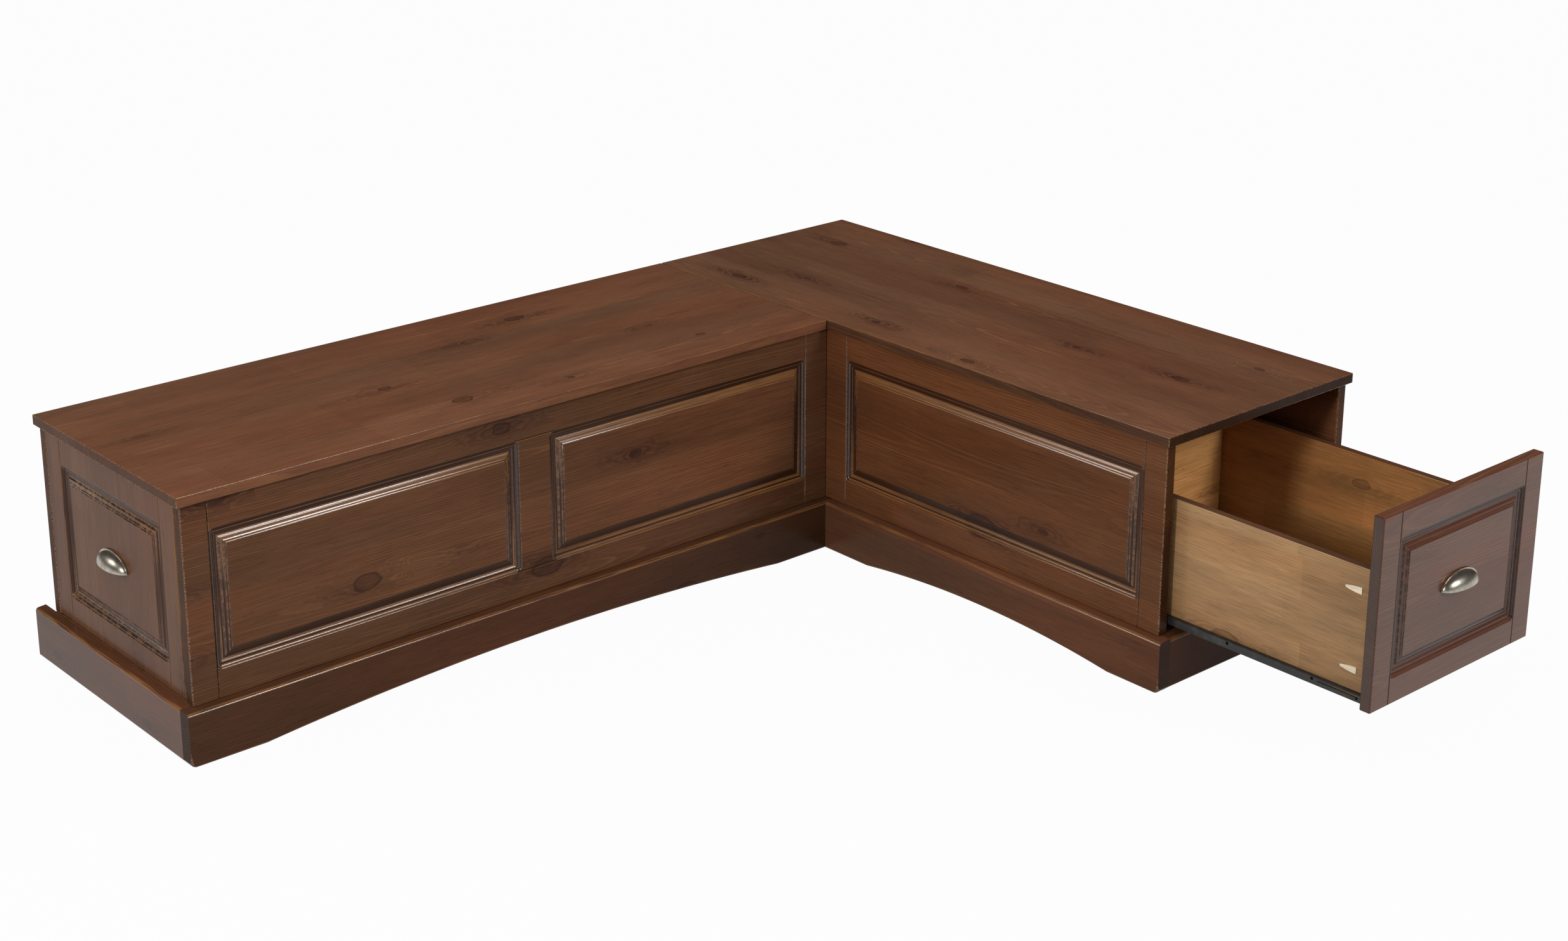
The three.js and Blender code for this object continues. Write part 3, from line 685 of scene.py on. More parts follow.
def build_pine_figure():
    """The figure of glued pine staves. The vector's parts run along the grain, across the board and
    into it. Each stave is cut at another distance from the heart, so its rings open into arches, and
    the rings bend round the knots. Blocks joined end to end make up each stave."""
    group, given = start_group("Pine figure", ("Vector",),
                               ("Face", "Stave Width", "Ring Width", "Knot Size", "Seed"))
    along, across, depth = split(given["Vector"])
    along = along + given["Seed"]
    place = (along, across, depth)
    flat_place = (along, across, 0.0)
    sway = noise(scaled(flat_place, SWAY_CELLS)) - 0.5
    ripple = noise(scaled(flat_place, RIPPLE_CELLS)) - 0.5
    stave_place = across / given["Stave Width"] + given["Seed"]
    stave = maths("FLOOR", stave_place)
    chances = split(chance(stave + given["Seed"], "Color"))
    off_centre = (chances[0] - 0.5) * 1.5
    in_stave = stave_place - stave - 0.5
    sideways = (in_stave + off_centre) * given["Stave Width"] + sway * SWAY_REACH + ripple * RIPPLE_REACH
    drift = noise(scaled((along, stave, given["Seed"]), DRIFT_CELLS), detail=1.0)
    heart = (drift - 0.5) * HEART_DRIFT + chances[1] * HEART_STEP + (depth - given["Face"])
    reach = maths("SQRT", sideways * sideways + heart * heart)

    knots = add_node(group, "ShaderNodeTexVoronoi", {"Vector": scaled(flat_place, KNOT_CELLS), "Scale": 1.0},
                     voronoi_dimensions="2D")
    size = largest(split(Level(knots["Color"]))[0] - 0.25, 0.0) * given["Knot Size"]
    present = smooth_step(size, 0.004, 0.02)
    ragged = noise(scaled(place, RAGGED_CELLS), detail=3.0) - 0.5
    from_edge = ragged * 0.06 + Level(knots["Distance"])
    heartwood = smooth_step(from_edge, size * 0.92, size * 0.6)
    core = smooth_step(from_edge, size, size * 0.8) * (heartwood * -0.5 + 1.0)
    centre = split(Level(knots["Position"]))
    along_off = (along * KNOT_CELLS[0] - centre[0]) * 0.5
    across_off = (across * KNOT_CELLS[1] - centre[1]) * 1.15
    spread = maths("SQRT", along_off * along_off + across_off * across_off) + ragged * 0.10
    halo = smooth_step(spread, size + 0.14, size * 0.8) * present
    swirl = maths("SINE", ragged * 5.0 + spread * 150.0)
    reach = reach + halo * halo * KNOT_BEND

    turns = reach / given["Ring Width"]
    ring = maths("FLOOR", turns)
    in_ring = turns - ring
    ring_chance = chance(maths("MULTIPLY_ADD", stave, STAVE_RING_STEP, ring))
    late = smooth_step(in_ring, 0.50, 0.86) * smooth_step(in_ring, 1.0, 0.92) * (ring_chance * 0.7 + 0.3)
    strength = smooth_step(noise(scaled(place, STRENGTH_CELLS)), 0.30, 0.66, 0.15, 1.0)
    joints = along * BLOCKS_PER_METRE + chances[0] * 9.0
    return end_group(group, {
        "Rings": late * strength,
        "Fibre": noise(scaled(place, FIBRE_CELLS), detail=4.0, roughness=0.6),
        "Blotch": noise(scaled(place, BLOTCH_CELLS), detail=4.0, roughness=0.6),
        "Warmth": smooth_step(noise(scaled((along, across, stave), WARMTH_CELLS)), 0.3, 0.7),
        "Fleck": smooth_step(noise(scaled(place, FLECK_CELLS), detail=1.0), 0.67, 0.76),
        "Knot": core * present,
        "Halo": halo * (swirl * 0.42 + 0.58),
        "Stave Tone": chances[2],
        "Block Tone": chance(maths("MULTIPLY_ADD", stave, STAVE_BLOCK_STEP, maths("FLOOR", joints))),
    })


def build_stain_and_painted_light():
    """Where stain has gathered, where sanding has thinned it, where light and shade are painted, and where
    the lacquer lies thick and glossy. Milled slopes that look up are painted lighter, as painted light, and
    glossy;
    slopes that look down are painted dark, as painted shade; the quirks are dark, as gathered stain and
    painted shade; slopes across the grain are dark with sanded streaks and the tool's scars, and lacquer
    stands in small drops on edges and in grooves across the grain."""
    group, given = start_group("Stain, lacquer and painted light", (),
                               ("Grain", "Waves", "Recess", "Quirk", "Inner", "Arris", "Cross", "Up"))
    cross, quirk, inner = given["Cross"], given["Quirk"], given["Inner"]
    streaks = smooth_step(given["Grain"], 0.40, 0.60)
    milled = smooth_step(given["Recess"], 0.02, 0.12)
    looks_up = smooth_step(given["Up"], 0.03, 0.25)
    looks_down = (1.0 - looks_up) * (1.0 - cross)
    worn = given["Arris"] * (1.0 - milled)
    scars = smooth_step(given["Waves"], 0.43, 0.52) * 0.95

    dark_slope = (inner * -0.60 + 0.80) * (streaks * -0.35 + 1.0)
    # Dark: slopes that look down, as painted shade; quirks, as gathered stain and painted shade; slopes
    # across the grain, as stain
    dark = largest(looks_down * 0.85, cross * largest(dark_slope, scars), quirk)

    # Lighter: slopes that look up, as painted light; inner slopes across the grain, as sanding
    golden_and_lit = largest(looks_up, cross * inner * 0.8) * (1.0 - quirk)
    golden_and_lit = golden_and_lit * (1.0 - cross * (scars * 0.6 + 0.35))
    golden_and_lit = golden_and_lit * milled * (streaks * 0.6 + 0.4)

    shine = milled * largest(looks_up, cross * 0.55 + 0.01, cross * quirk * streaks)
    drops = cross * streaks * 0.9
    edge_shine = worn * largest(looks_up * 0.75 + 0.10, drops)
    return end_group(group, {
        # The first mask is gathered stain and painted shade, the second sanding on arrises and slopes and
        # painted light on slopes that look up
        "Pooled Stain And Shade": milled * dark,
        "Rubbed And Painted Light": largest(golden_and_lit, worn * streaks),
        "Glossy": largest(shine, edge_shine),
        "Marked": milled * cross,
    })


def build_sheet_wear():
    """The drawing lines along rolled sheet steel, and the thin film of dust on it."""
    group, given = start_group("Sheet wear", ("Place", "Stretch"), ())
    lines = noise(scaled(split(given["Place"]), split(given["Stretch"])), detail=3.0)
    dust = noise(given["Place"], detail=4.0, roughness=0.65, scale=55.0)
    return end_group(group, {"Lines": lines, "Dust": smooth_step(dust, 0.45, 0.8) * 0.6})


pine_figure = build_pine_figure()
stain_and_painted_light = build_stain_and_painted_light()
sheet_wear = build_sheet_wear()


def start_material(name):
    material = bpy.data.materials.new(name)
    material.use_nodes = True
    tree = material.node_tree
    tree.nodes.clear()
    shader = tree.nodes.new("ShaderNodeBsdfPrincipled")
    output = tree.nodes.new("ShaderNodeOutputMaterial")
    tree.links.new(shader.outputs[0], output.inputs["Surface"])
    return material, tree, shader


def object_place(tree):
    return Level(add_node(tree, "ShaderNodeTexCoord", {})["Object"])


def grain_vector(tree, grain):
    """Object coordinates in the board's own order, along the grain, across it and into the board, a
    mask of the faces that cut the grain across, one that takes in shallow cuts too, and how far a
    face looks up."""
    place = split(object_place(tree))
    order = ["XYZ".index(letter) for letter in grain]
    sides = split(Level(add_node(tree, "ShaderNodeTexCoord", {})["Normal"]))
    cut = maths("ABSOLUTE", sides[order[0]])
    end = smooth_step(cut, 0.2, 0.75)
    cross = smooth_step(cut, 0.04, 0.28)
    return joined([place[i] for i in order]), end, cross, sides[2]


def palette(base, **tones):
    """The base's colours, with other tones for some of them."""
    return {**base, **{part: (*tone, 1) for part, tone in tones.items()}}


STAINED = palette(
    {},
    brown=(0.094, 0.0425, 0.0215),
    red=(0.114, 0.0430, 0.0205),
    late=(0.205, 0.0930, 0.0370),
    knot=(0.022, 0.0090, 0.0060),
    halo=(0.046, 0.0185, 0.0115),
    # The next two colours are the dark of gathered stain and painted shade in the mouldings, and the light
    # brown of sanding and of painted light on slopes that look up
    pooled=(0.016, 0.0065, 0.0040),
    rubbed=(0.215, 0.0940, 0.0260),
)
DARK_RED = palette(STAINED, brown=(0.088, 0.0395, 0.0235), red=(0.104, 0.0370, 0.0205),
                   pooled=(0.010, 0.0040, 0.0030), rubbed=(0.085, 0.0200, 0.0090))
WARM = palette(STAINED, brown=(0.100, 0.0415, 0.0185), red=(0.122, 0.0420, 0.0165))
LEFT_END = palette(STAINED, brown=(0.078, 0.0350, 0.0175), red=(0.092, 0.0350, 0.0170))
SEAT = palette(STAINED, brown=(0.094, 0.0440, 0.0250), red=(0.112, 0.0430, 0.0225))
# The plinth boards' colours are a darker stain with painted shade added
PLINTH_STAIN_AND_SHADE = palette(STAINED, brown=(0.053, 0.0235, 0.0120), red=(0.072, 0.0260, 0.0125),
                 late=(0.100, 0.0460, 0.0205))
# The right plinth front is painted lighter than the other plinth boards, as painted light
RIGHT_PLINTH_PAINTED_LIGHT = palette(STAINED, brown=(0.080, 0.0360, 0.0185), red=(0.108, 0.0390, 0.0190),
                       late=(0.145, 0.0660, 0.0290))
HONEY = palette(
    {},
    brown=(0.290, 0.172, 0.082),
    red=(0.300, 0.158, 0.068),
    late=(0.225, 0.120, 0.050),
    knot=(0.110, 0.048, 0.020),
    halo=(0.200, 0.100, 0.040),
    # The next two colours are gathered stain with painted shade, and sanding with painted light on slopes
    # that look up
    pooled=(0.090, 0.040, 0.017),
    rubbed=(0.480, 0.330, 0.180),
)
# Drawer pine painted darker and redder, as painted shade, for the right drawer's far side
HONEY_PAINTED_SHADE = palette(HONEY, brown=(0.330, 0.162, 0.056), red=(0.335, 0.142, 0.046),
                     late=(0.230, 0.105, 0.035))
# Drawer pine painted paler and warmer, as painted light, for the drawer backs
HONEY_PAINTED_LIGHT = palette(HONEY, brown=(0.67, 0.345, 0.125), red=(0.68, 0.320, 0.108),
                     late=(0.45, 0.215, 0.080))
BARE_WOOD = palette(HONEY, brown=(0.72, 0.62, 0.47), red=(0.68, 0.57, 0.42), late=(0.60, 0.48, 0.33),
                    halo=(0.55, 0.44, 0.3))
# The colour that faces looking up are darkened towards, on the drawer walls
TOP_FACE_DARK = (0.060, 0.019, 0.009, 1)

# How much the lacquer shines, on flats and on milled slopes
LACQUER = (0.04, 1.0)
LEFT_END_LACQUER = (0.17, 0.45)
RIGHT_END_LACQUER = (0.48, 0.14)
PLINTH_END_LACQUER = (0.34, 0.8)
DRAWER_LACQUER = (0.03, 0.1)
NO_LACQUER = (0.0, 0.0)
LACQUER_IOR = 1.75

# Waves that the milling tool leaves across the grain: how many to the metre, and how deep
TOOL_MARKS = 125.0
TOOL_MARK_DEPTH = 9.0
GRAIN_RELIEF = 0.4
GRAIN_DEPTH = 0.4 * MM
METAL_DEPTH = 0.2 * MM

# The side of a solid, on one axis, where a board's face lies
LOW = 0
HIGH = 1


def pine(name, grain, node, side=LOW, colours=STAINED, stave=0.105, ring=0.0046, knot_size=0.11, seed=0.0,
         roughness=0.34, sheen_level=0.03, coat=LACQUER, coat_roughness=0.21, ring_share=0.42,
         fibre_share=0.13, cloud_share=0.13, stave_share=0.10, block_share=0.05, edge_light_and_shade=1.0,
         top_darkening=0.0):
    """Pine with its figure, stain and lacquer, and with painted light and shade on its milled slopes. grain
    names the axes along the grain, across the board and into it, and side is the side of the solid where the
    board's face lies on the last of them. The second last argument is the tone of the faces that don't look
    up: painted light where it is above 1 and painted shade where it is below 1. The last argument is how far
    the faces that look up are darkened, which on the drawer walls are their upper edges."""
    material, tree, shader = start_material(name)
    vector, end, cross, up = grain_vector(tree, grain)
    figure = place_group(tree, pine_figure, {
        "Vector": vector, "Face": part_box(node)[side]["XYZ".index(grain[2])], "Stave Width": stave,
        "Ring Width": ring, "Knot Size": knot_size, "Seed": seed})
    fibre = figure["Fibre"]
    waves = noise(vector, detail=1.5, scale=TOOL_MARKS)
    marks = {label: Level(add_node(tree, "ShaderNodeAttribute", {}, attribute_name=label.lower())["Fac"])
             for label in ("Recess", "Quirk", "Inner", "Arris")}
    # The stain group's masks carry painted light and shade as well as stain, sanding and lacquer
    wear = place_group(tree, stain_and_painted_light, {**marks, "Grain": fibre, "Waves": waves, "Cross": cross, "Up": up})

    colour = blend_colour(figure["Warmth"], colours["brown"], colours["red"])
    colour = blend_colour(figure["Rings"] * (end * 0.5 + ring_share), colour, colours["late"])
    grain_tone = smooth_step(fibre, 0.34, 0.66, 1 - fibre_share, 1 + fibre_share)
    cloud_tone = smooth_step(figure["Blotch"], 0.3, 0.7, 1 - cloud_share, 1 + cloud_share)
    stave_tone = figure["Stave Tone"] * (2 * stave_share) + (1 - stave_share)
    block_tone = figure["Block Tone"] * (2 * block_share) + (1 - block_share)
    fleck_tone = figure["Fleck"] * -0.4 + 1.0
    end_tone = end * -0.55 + 1.0
    # Faces that don't look up take the given tone: painted light where it is above 1, painted shade where it
    # is below 1
    side_light_and_shade = smooth_step(up, 0.3, 0.8, edge_light_and_shade, 1.0)
    tone = grain_tone * cloud_tone * stave_tone * block_tone * fleck_tone * end_tone * side_light_and_shade
    colour = blend_colour(1.0, colour, tone, "MULTIPLY")
    smudge = figure["Halo"] * smooth_step(figure["Blotch"], 0.66, 0.40)
    # Knots and their halos are the wood's own; the third mask is gathered stain and painted shade, the
    # fourth sanding and painted light on slopes that look up
    for mask, part in ((smudge * 0.85, "halo"), (figure["Knot"] * 0.8, "knot"),
                       (wear["Pooled Stain And Shade"] * 0.85, "pooled"), (wear["Rubbed And Painted Light"] * 0.7, "rubbed")):
        colour = blend_colour(mask, colour, colours[part])
    # Faces that look up are darkened by the given share
    colour = blend_colour(smooth_step(up, 0.5, 0.8) * top_darkening, colour, TOP_FACE_DARK)

    thin, thick = coat
    height = (fibre * 0.6 + figure["Rings"] * 0.5) * (end * 3.0 + 1.0)
    height = waves * wear["Marked"] * TOOL_MARK_DEPTH + height
    feed(shader.inputs, {
        "Base Color": colour,
        "Roughness": fibre * 0.16 + (roughness - 0.08),
        "Coat Weight": wear["Glossy"] * (thick - thin) + thin,
        "Coat Roughness": coat_roughness,
        "Coat IOR": LACQUER_IOR,
        "Specular IOR Level": sheen_level,
        "Normal": bumped(height, GRAIN_RELIEF, GRAIN_DEPTH),
    })
    return material


def antique_nickel():
    material, tree, shader = start_material("antique nickel")
    place = object_place(tree)
    aged = smooth_step(noise(place, detail=4.0, roughness=0.6, scale=70.0), 0.35, 0.7)
    fine = noise(place, detail=3.0, roughness=0.6, scale=900.0)
    feed(shader.inputs, {
        "Base Color": blend_colour(aged, (0.36, 0.32, 0.25, 1), (0.50, 0.47, 0.40, 1)),
        "Roughness": fine * 0.14 + 0.27,
        "Metallic": 1.0,
        "Normal": bumped(fine, 0.05, METAL_DEPTH),
    })
    return material


def coated_steel(name, dark, dusty, stretch, metallic, roughness):
    """Rolled sheet steel with drawing lines along its length and a thin film of dust."""
    material, tree, shader = start_material(name)
    sheet = place_group(tree, sheet_wear, {"Place": object_place(tree), "Stretch": stretch})
    feed(shader.inputs, {
        "Base Color": blend_colour(sheet["Dust"], dark, dusty),
        "Roughness": sheet["Lines"] * 0.2 + roughness,
        "Metallic": metallic,
        "Normal": bumped(sheet["Lines"], 0.08, METAL_DEPTH),
    })
    return material


# Materials, one for each way that the grain runs on a board

# The left seat's edge faces are painted lighter, as painted light, and the right seat's darker, as painted
# shade
left_seat_pine = pine("left seat pine", "XYZ", "left_top_board", HIGH, stave=0.123, seed=0.31,
                      colours=SEAT, edge_light_and_shade=1.25)
right_seat_pine = pine("right seat pine", "YXZ", "right_top_board", HIGH, stave=0.123, seed=5.7,
                       colours=SEAT, edge_light_and_shade=0.55)
left_front_pine = pine("left front pine", "XZY", "left_front_panel", stave=0.094, seed=2.13,
                       knot_size=0.18, stave_share=0.13)
right_front_pine = pine("right front pine", "YZX", "right_front_panel", stave=0.094, seed=8.4,
                        knot_size=0.20, colours=WARM, stave_share=0.18)
left_drawer_pine = pine("left drawer front pine", "ZYX", "left_drawer_front", stave=0.12, seed=3.3,
                        knot_size=0.05, colours=LEFT_END, coat=LEFT_END_LACQUER, coat_roughness=0.16)
right_drawer_pine = pine("right drawer front pine", "XZY", "right_drawer_front", stave=0.11, seed=11.2,
                         knot_size=0.08, colours=DARK_RED, coat=RIGHT_END_LACQUER, coat_roughness=0.16)
left_plinth_pine = pine("left plinth pine", "XZY", "left_plinth_front", stave=0.2, seed=4.45,
                        knot_size=0.13, colours=PLINTH_STAIN_AND_SHADE, ring_share=0.3)
right_plinth_pine = pine("right plinth pine", "YZX", "right_plinth_front", stave=0.2, seed=6.6,
                         knot_size=0.10, colours=RIGHT_PLINTH_PAINTED_LIGHT, ring_share=0.3)
left_end_pine = pine("left end pine", "YZX", "left_plinth_end", stave=0.2, seed=9.1, colours=PLINTH_STAIN_AND_SHADE,
                     coat=PLINTH_END_LACQUER)
right_end_pine = pine("right end pine", "XZY", "right_plinth_end", stave=0.2, seed=1.9, colours=PLINTH_STAIN_AND_SHADE)
left_back_pine = pine("left back pine", "XZY", "left_back_panel", HIGH, stave=0.11, seed=7.7)
right_back_pine = pine("right back pine", "YZX", "right_back_panel", HIGH, stave=0.11, seed=12.4)
inside_x_pine = pine("inside pine along x", "XYZ", "left_bottom_board", HIGH, seed=3.9, coat=NO_LACQUER,
                     roughness=0.55)
inside_y_pine = pine("inside pine along y", "YXZ", "right_bottom_board", HIGH, seed=6.1, coat=NO_LACQUER,
                     roughness=0.55)

honey_finish = dict(colours=HONEY, stave=0.072, ring=0.0042, knot_size=0.2, coat=DRAWER_LACQUER,
                    roughness=0.45, sheen_level=0.2, ring_share=0.5, fibre_share=0.15,
                    cloud_share=0.24, block_share=0.13, top_darkening=0.9)
# The far side's colours are painted shade
painted_shade_finish = dict(honey_finish, colours=HONEY_PAINTED_SHADE)
# The backs' colours are painted light
painted_light_finish = dict(honey_finish, colours=HONEY_PAINTED_LIGHT)
floor_finish = dict(honey_finish, top_darkening=0.0)
left_side_honey = pine("left drawer side pine", "XZY", "left_drawer_front_side", seed=2.2, **honey_finish)
right_side_honey = pine("right drawer side pine", "YZX", "right_drawer_front_side", seed=4.7,
                        **honey_finish)
right_far_honey = pine("right drawer far side pine", "YZX", "right_drawer_back_side", seed=6.2,
                       **painted_shade_finish)
left_back_honey = pine("left drawer back pine", "YZX", "left_drawer_back", seed=1.2, **painted_light_finish)
right_back_honey = pine("right drawer back pine", "XZY", "right_drawer_back", seed=9.6, **painted_light_finish)
floor_honey = pine("drawer bottom pine", "YXZ", "right_drawer_bottom", HIGH, seed=3.4, **floor_finish)
bare_plug = pine("bare plug wood", "YZX", "right_drawer_front_plug_high", seed=5.0, colours=BARE_WOOD,
                 stave=0.5, ring=0.003, knot_size=0.0, coat=NO_LACQUER, roughness=0.6, ring_share=0.4,
                 fibre_share=0.10)

nickel = antique_nickel()
BLACK_STEEL = ((0.018, 0.018, 0.018, 1), (0.062, 0.058, 0.054, 1))
CAGE_STEEL = ((0.38, 0.38, 0.37, 1), (0.55, 0.54, 0.52, 1))
# Drawing lines to the metre on each axis, on sheets that run along x and along y
LINES_ALONG_X = (8, 900, 900)
LINES_ALONG_Y = (900, 8, 900)
left_slide_steel = coated_steel("left slide steel", *BLACK_STEEL, LINES_ALONG_X, 0.3, 0.3)
right_slide_steel = coated_steel("right slide steel", *BLACK_STEEL, LINES_ALONG_Y, 0.3, 0.3)
left_cage_steel = coated_steel("left cage steel", *CAGE_STEEL, LINES_ALONG_X, 1.0, 0.25)
right_cage_steel = coated_steel("right cage steel", *CAGE_STEEL, LINES_ALONG_Y, 1.0, 0.25)


def dress(piece, material):
    piece.data.materials.clear()
    piece.data.materials.append(material)


def place_piece(piece, material, slot, *stands_for):
    """Dresses a new piece and puts it in place of its solids, on their body."""
    dress(piece, material)
    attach(piece, nodes[stands_for[0]]["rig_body"])
    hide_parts(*stands_for)


# Seat boards

for side, material in (("left", left_seat_pine), ("right", right_seat_pine)):
    node = f"{side}_top_board"
    seat = block(f"{side}_seat", *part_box(node))
    round_edges(seat, SEAT_ARRIS)
    mark_arrises(seat)
    place_piece(shade(seat), material, "stained_pine", node)

# Fronts of the cases and of the drawers, and where their raised panels start and end

left_low, left_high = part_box("left_front_panel")
left_first = left_low.x + OUTER_MARGIN
left_last = left_high.x - INNER_MARGIN
panel_width = (left_last - left_first - CENTRE_STILE) / 2
left_spans = [(left_first, left_first + panel_width), (left_last - panel_width, left_last)]
right_spans = [(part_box("right_front_panel")[LOW].y + OUTER_MARGIN, left_low.y - INNER_MARGIN)]


def drawer_spans(node, axis):
    low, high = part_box(node)
    return [(low.dot(axis) + DRAWER_MARGIN, high.dot(axis) - DRAWER_MARGIN)]


for name, node, along, outward, spans, material in (
        ("left_front", "left_front_panel", ACROSS_X, -ACROSS_Y, left_spans, left_front_pine),
        ("right_front", "right_front_panel", ACROSS_Y, -ACROSS_X, right_spans, right_front_pine),
        ("left_drawer_face", "left_drawer_front", ACROSS_Y, -ACROSS_X,
         drawer_spans("left_drawer_front", ACROSS_Y), left_drawer_pine),
        ("right_drawer_face", "right_drawer_front", ACROSS_X, -ACROSS_Y,
         drawer_spans("right_drawer_front", ACROSS_X), right_drawer_pine)):
    front = milled_front(name, node, along, outward, spans)
    place_piece(front, material, "stained_pine", node)

# Plinth boards

for name, node, along, outward, foot, rise, material in (
        ("left_plinth", "left_plinth_front", ACROSS_X, -ACROSS_Y, LEFT_FOOT, LEFT_RISE, left_plinth_pine),
        ("right_plinth", "right_plinth_front", ACROSS_Y, -ACROSS_X, RIGHT_FOOT, RIGHT_RISE,
         right_plinth_pine),
        ("left_plinth_return", "left_plinth_end", ACROSS_Y, -ACROSS_X, None, None, left_end_pine),
        ("right_plinth_return", "right_plinth_end", ACROSS_X, -ACROSS_Y, None, None, right_end_pine)):
    board = plinth_board(name, node, along, outward, foot, rise)
    place_piece(board, material, "stained_pine", node)

# Back boards, drawer boxes and slides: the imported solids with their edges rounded


def softened_board(name, node, width, material, slot):
    board = softened(name, node, width)
    mark_arrises(board)
    place_piece(board, material, slot, node)


for side, back_pine, slide_steel, near_honey, far_honey, back_honey in (
        ("left", left_back_pine, left_slide_steel, left_side_honey, left_side_honey, left_back_honey),
        ("right", right_back_pine, right_slide_steel, right_side_honey, right_far_honey, right_back_honey)):
    softened_board(f"{side}_back", f"{side}_back_panel", SMALL_ARRIS, back_pine, "stained_pine")
    for hand, side_honey in (("front", near_honey), ("back", far_honey)):
        softened_board(f"{side}_drawer_{hand}_wall", f"{side}_drawer_{hand}_side", DRAWER_ARRIS,
                       side_honey, "drawer_pine")
        node = f"{side}_slide_{hand}_drawer_member"
        member = softened(f"{side}_slide_{hand}_inner", node, METAL_ARRIS)
        place_piece(member, slide_steel, "slide_steel", node)
        for level in ("low", "high"):
            node = f"{side}_drawer_{hand}_plug_{level}"
            plug = softened(f"{side}_drawer_{hand}_peg_{level}", node, METAL_ARRIS)
            place_piece(plug, bare_plug, "pale_plug", node)
    softened_board(f"{side}_drawer_tail", f"{side}_drawer_back", DRAWER_ARRIS, back_honey, "drawer_pine")

# Cup pulls

for side, along, outward in (("left", ACROSS_Y, -ACROSS_X), ("right", ACROSS_X, -ACROSS_Y)):
    pull = cup_pull(f"{side}_pull", f"{side}_cup_pull", along, outward)
    place_piece(pull, nickel, "aged_nickel", f"{side}_cup_pull")

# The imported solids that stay

for side, inside, steel, cage in (("left", inside_x_pine, left_slide_steel, left_cage_steel),
                                  ("right", inside_y_pine, right_slide_steel, right_cage_steel)):
    for part in ("inner_end_panel", "divider", "front_top_cleat", "back_top_cleat", "base_back_rail",
                 "base_inner_rail", "bottom_board"):
        dress(nodes[f"{side}_{part}"], inside)
    for hand in ("front", "back"):
        dress(nodes[f"{side}_slide_{hand}_cabinet_member"], steel)
        dress(nodes[f"{side}_slide_{hand}_ball_cage"], cage)
    dress(nodes[f"{side}_drawer_bottom"], floor_honey)
dress(nodes["right_base_corner_rail"], inside_y_pine)

# Floor, light and camera


def seen_directly(tree):
    """1 for what the camera, a reflection or a refraction sees, and 0 for soft light."""
    path = add_node(tree, "ShaderNodeLightPath", {})
    return largest(Level(path["Is Camera Ray"]), Level(path["Is Glossy Ray"]),
                   Level(path["Is Transmission Ray"]))


def matt_cloud(name, scale, dark, pale, roughness):
    """A matt material with soft clouds between two greys."""
    material, tree, shader = start_material(name)
    cloud = noise(object_place(tree), scale=scale)
    feed(shader.inputs, {
        "Base Color": blend_colour(cloud, (dark, dark, dark, 1), (pale, pale, pale, 1)),
        "Roughness": roughness,
        "Specular IOR Level": 0.0,
    })
    return material, tree, shader


def mix_shaders(tree, factor, first, second, output):
    mixed = add_node(tree, "ShaderNodeMixShader", {0: factor, 1: Level(first), 2: Level(second)})
    tree.links.new(mixed[0], output.inputs["Surface"])


def pale_floor():
    """A pale floor. What sees it directly or in a reflection sees it whitened, with the part's shadow
    still on it."""
    material, tree, shader = matt_cloud("pale floor", 1.5, 0.29, 0.31, 0.9)
    glow = add_node(tree, "ShaderNodeEmission", {"Color": (1, 1, 1, 1), "Strength": 1.0})
    output = next(item for item in tree.nodes if item.type == "OUTPUT_MATERIAL")
    mix_shaders(tree, seen_directly(tree) * FLOOR_WHITENING, shader.outputs[0], glow[0], output)
    return material


bpy.ops.object.select_all(action="DESELECT")
bpy.ops.mesh.primitive_plane_add(size=FLOOR_SIZE, location=(0, 0, -FLOOR_GAP))
floor = settle(bpy.context.active_object, "studio_floor")
dress(floor, pale_floor())

# The studio's dark walls and ceiling show in reflections alone, so that the lacquer keeps its colour
# at low angles
bpy.ops.object.select_all(action="DESELECT")
bpy.ops.mesh.primitive_cylinder_add(
    vertices=WALL_SIDES, radius=WALL_RADIUS, depth=WALL_HEIGHT, location=(0, 0, WALL_HEIGHT / 2 - WALL_SINK))
studio = settle(bpy.context.active_object, "studio_walls")
dress(studio, matt_cloud("dark cloth", 0.8, 0.02, 0.05, 1.0)[0])
studio.visible_camera = False
studio.visible_diffuse = False
studio.visible_shadow = False
studio.visible_transmission = False

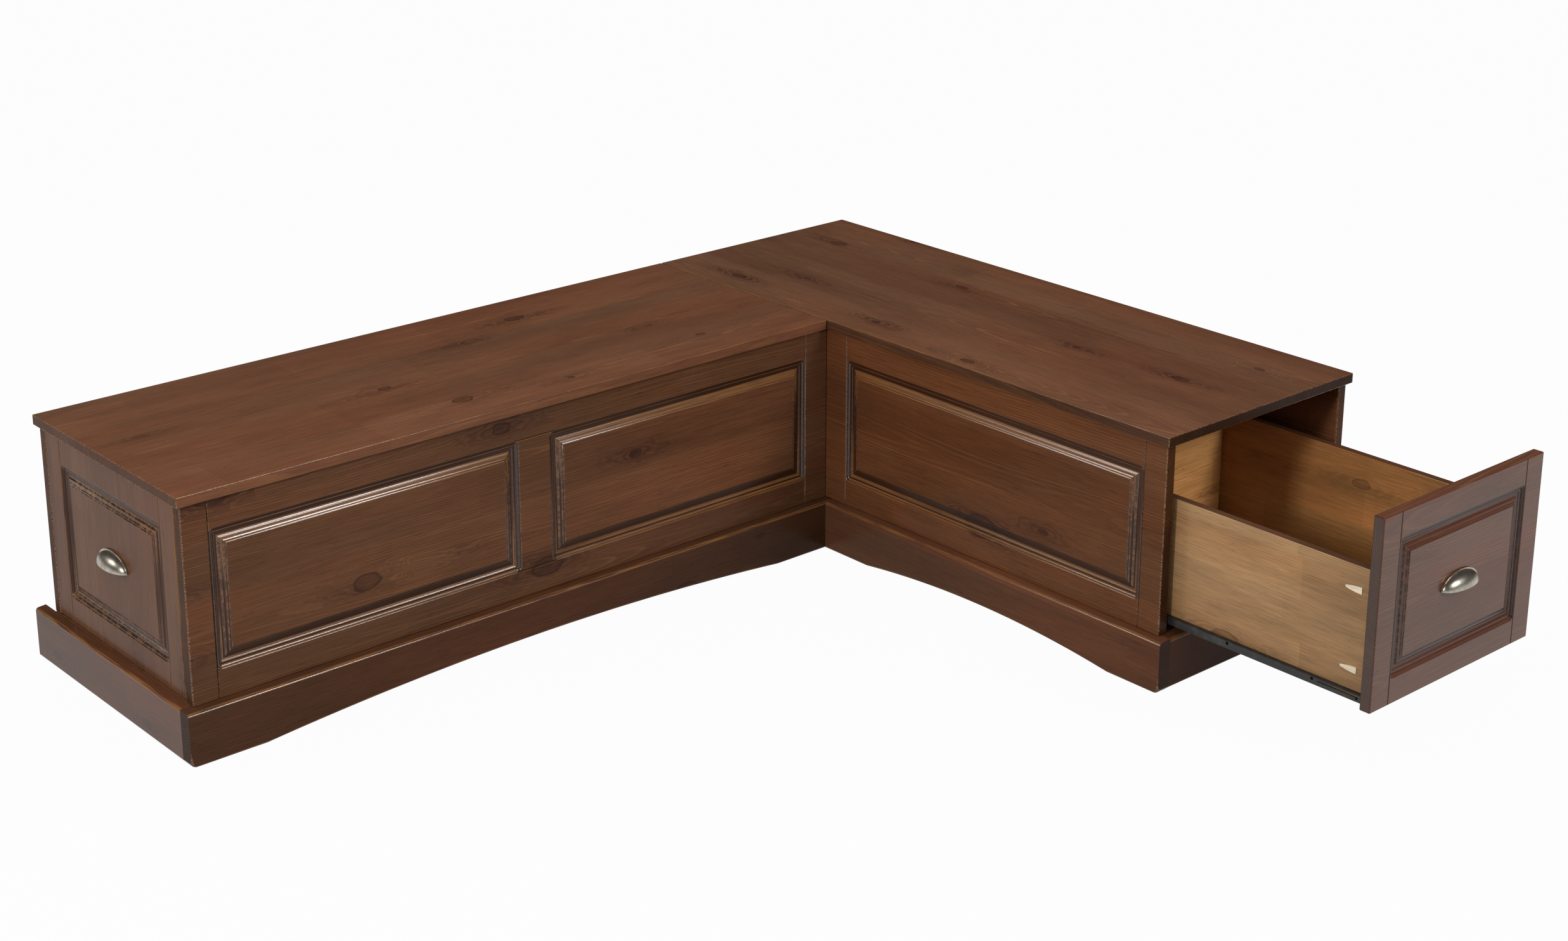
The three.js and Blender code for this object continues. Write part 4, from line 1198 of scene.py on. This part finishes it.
# Soft light from the whole ceiling, weakest at the horizon
world = bpy.data.worlds.new("studio")
bpy.context.scene.world = world
world.use_nodes = True
tree = world.node_tree
tree.nodes.clear()
height = split(Level(add_node(tree, "ShaderNodeTexCoord", {})["Generated"]))[2]
glow = smooth_step(height, 0.0, 1.0, HORIZON_LEVEL, CEILING_LEVEL)
soft = add_node(tree, "ShaderNodeBackground", {"Color": (1.0, 0.99, 0.975, 1), "Strength": glow})
bright = add_node(tree, "ShaderNodeBackground", {"Color": (1, 1, 1, 1), "Strength": 1.0})
mix_shaders(tree, seen_directly(tree), soft[0], bright[0], tree.nodes.new("ShaderNodeOutputWorld"))


def soft_light(name, place, target, size, watts):
    lamp = bpy.data.lights.new(name, "AREA")
    lamp.shape = "RECTANGLE"
    lamp.size, lamp.size_y = size
    lamp.energy = watts
    holder = add_object(name, lamp)
    holder.location = place
    holder.rotation_euler = turn_to(Vector(target) - Vector(place), "-Z")


soft_light("left key", place=(-3.25, -0.95, 1.87), target=(0.5, -0.6, 0.25), size=(0.42, 0.55), watts=62)
soft_light("front right softbox", place=(1.35, -3.63, 2.08), target=(-0.6, 0.37, 0.3), size=(0.9, 0.8),
           watts=55)
soft_light("rear left softbox", place=(-2.6, 1.85, 1.65), target=(0.42, -0.5, 0.35), size=(0.7, 0.7),
           watts=16)

bpy.context.scene.view_settings.view_transform = "Standard"

camera_data = bpy.data.cameras.new("camera")
camera = add_object("camera", camera_data)
camera_data.sensor_fit = "HORIZONTAL"
camera_data.sensor_width = FILM_WIDTH
camera_data.lens = FILM_WIDTH * FOCAL_PIXELS / PHOTO_PIXELS
camera_data.shift_x, camera_data.shift_y = CAMERA_SHIFT
camera_data.clip_end = CAMERA_REACH
camera.location = CAMERA_PLACE
gaze = Vector((
    math.sin(CAMERA_HEADING) * math.cos(CAMERA_DROP),
    math.cos(CAMERA_HEADING) * math.cos(CAMERA_DROP),
    -math.sin(CAMERA_DROP)))
camera.rotation_euler = turn_to(gaze, "-Z")
bpy.context.scene.camera = camera
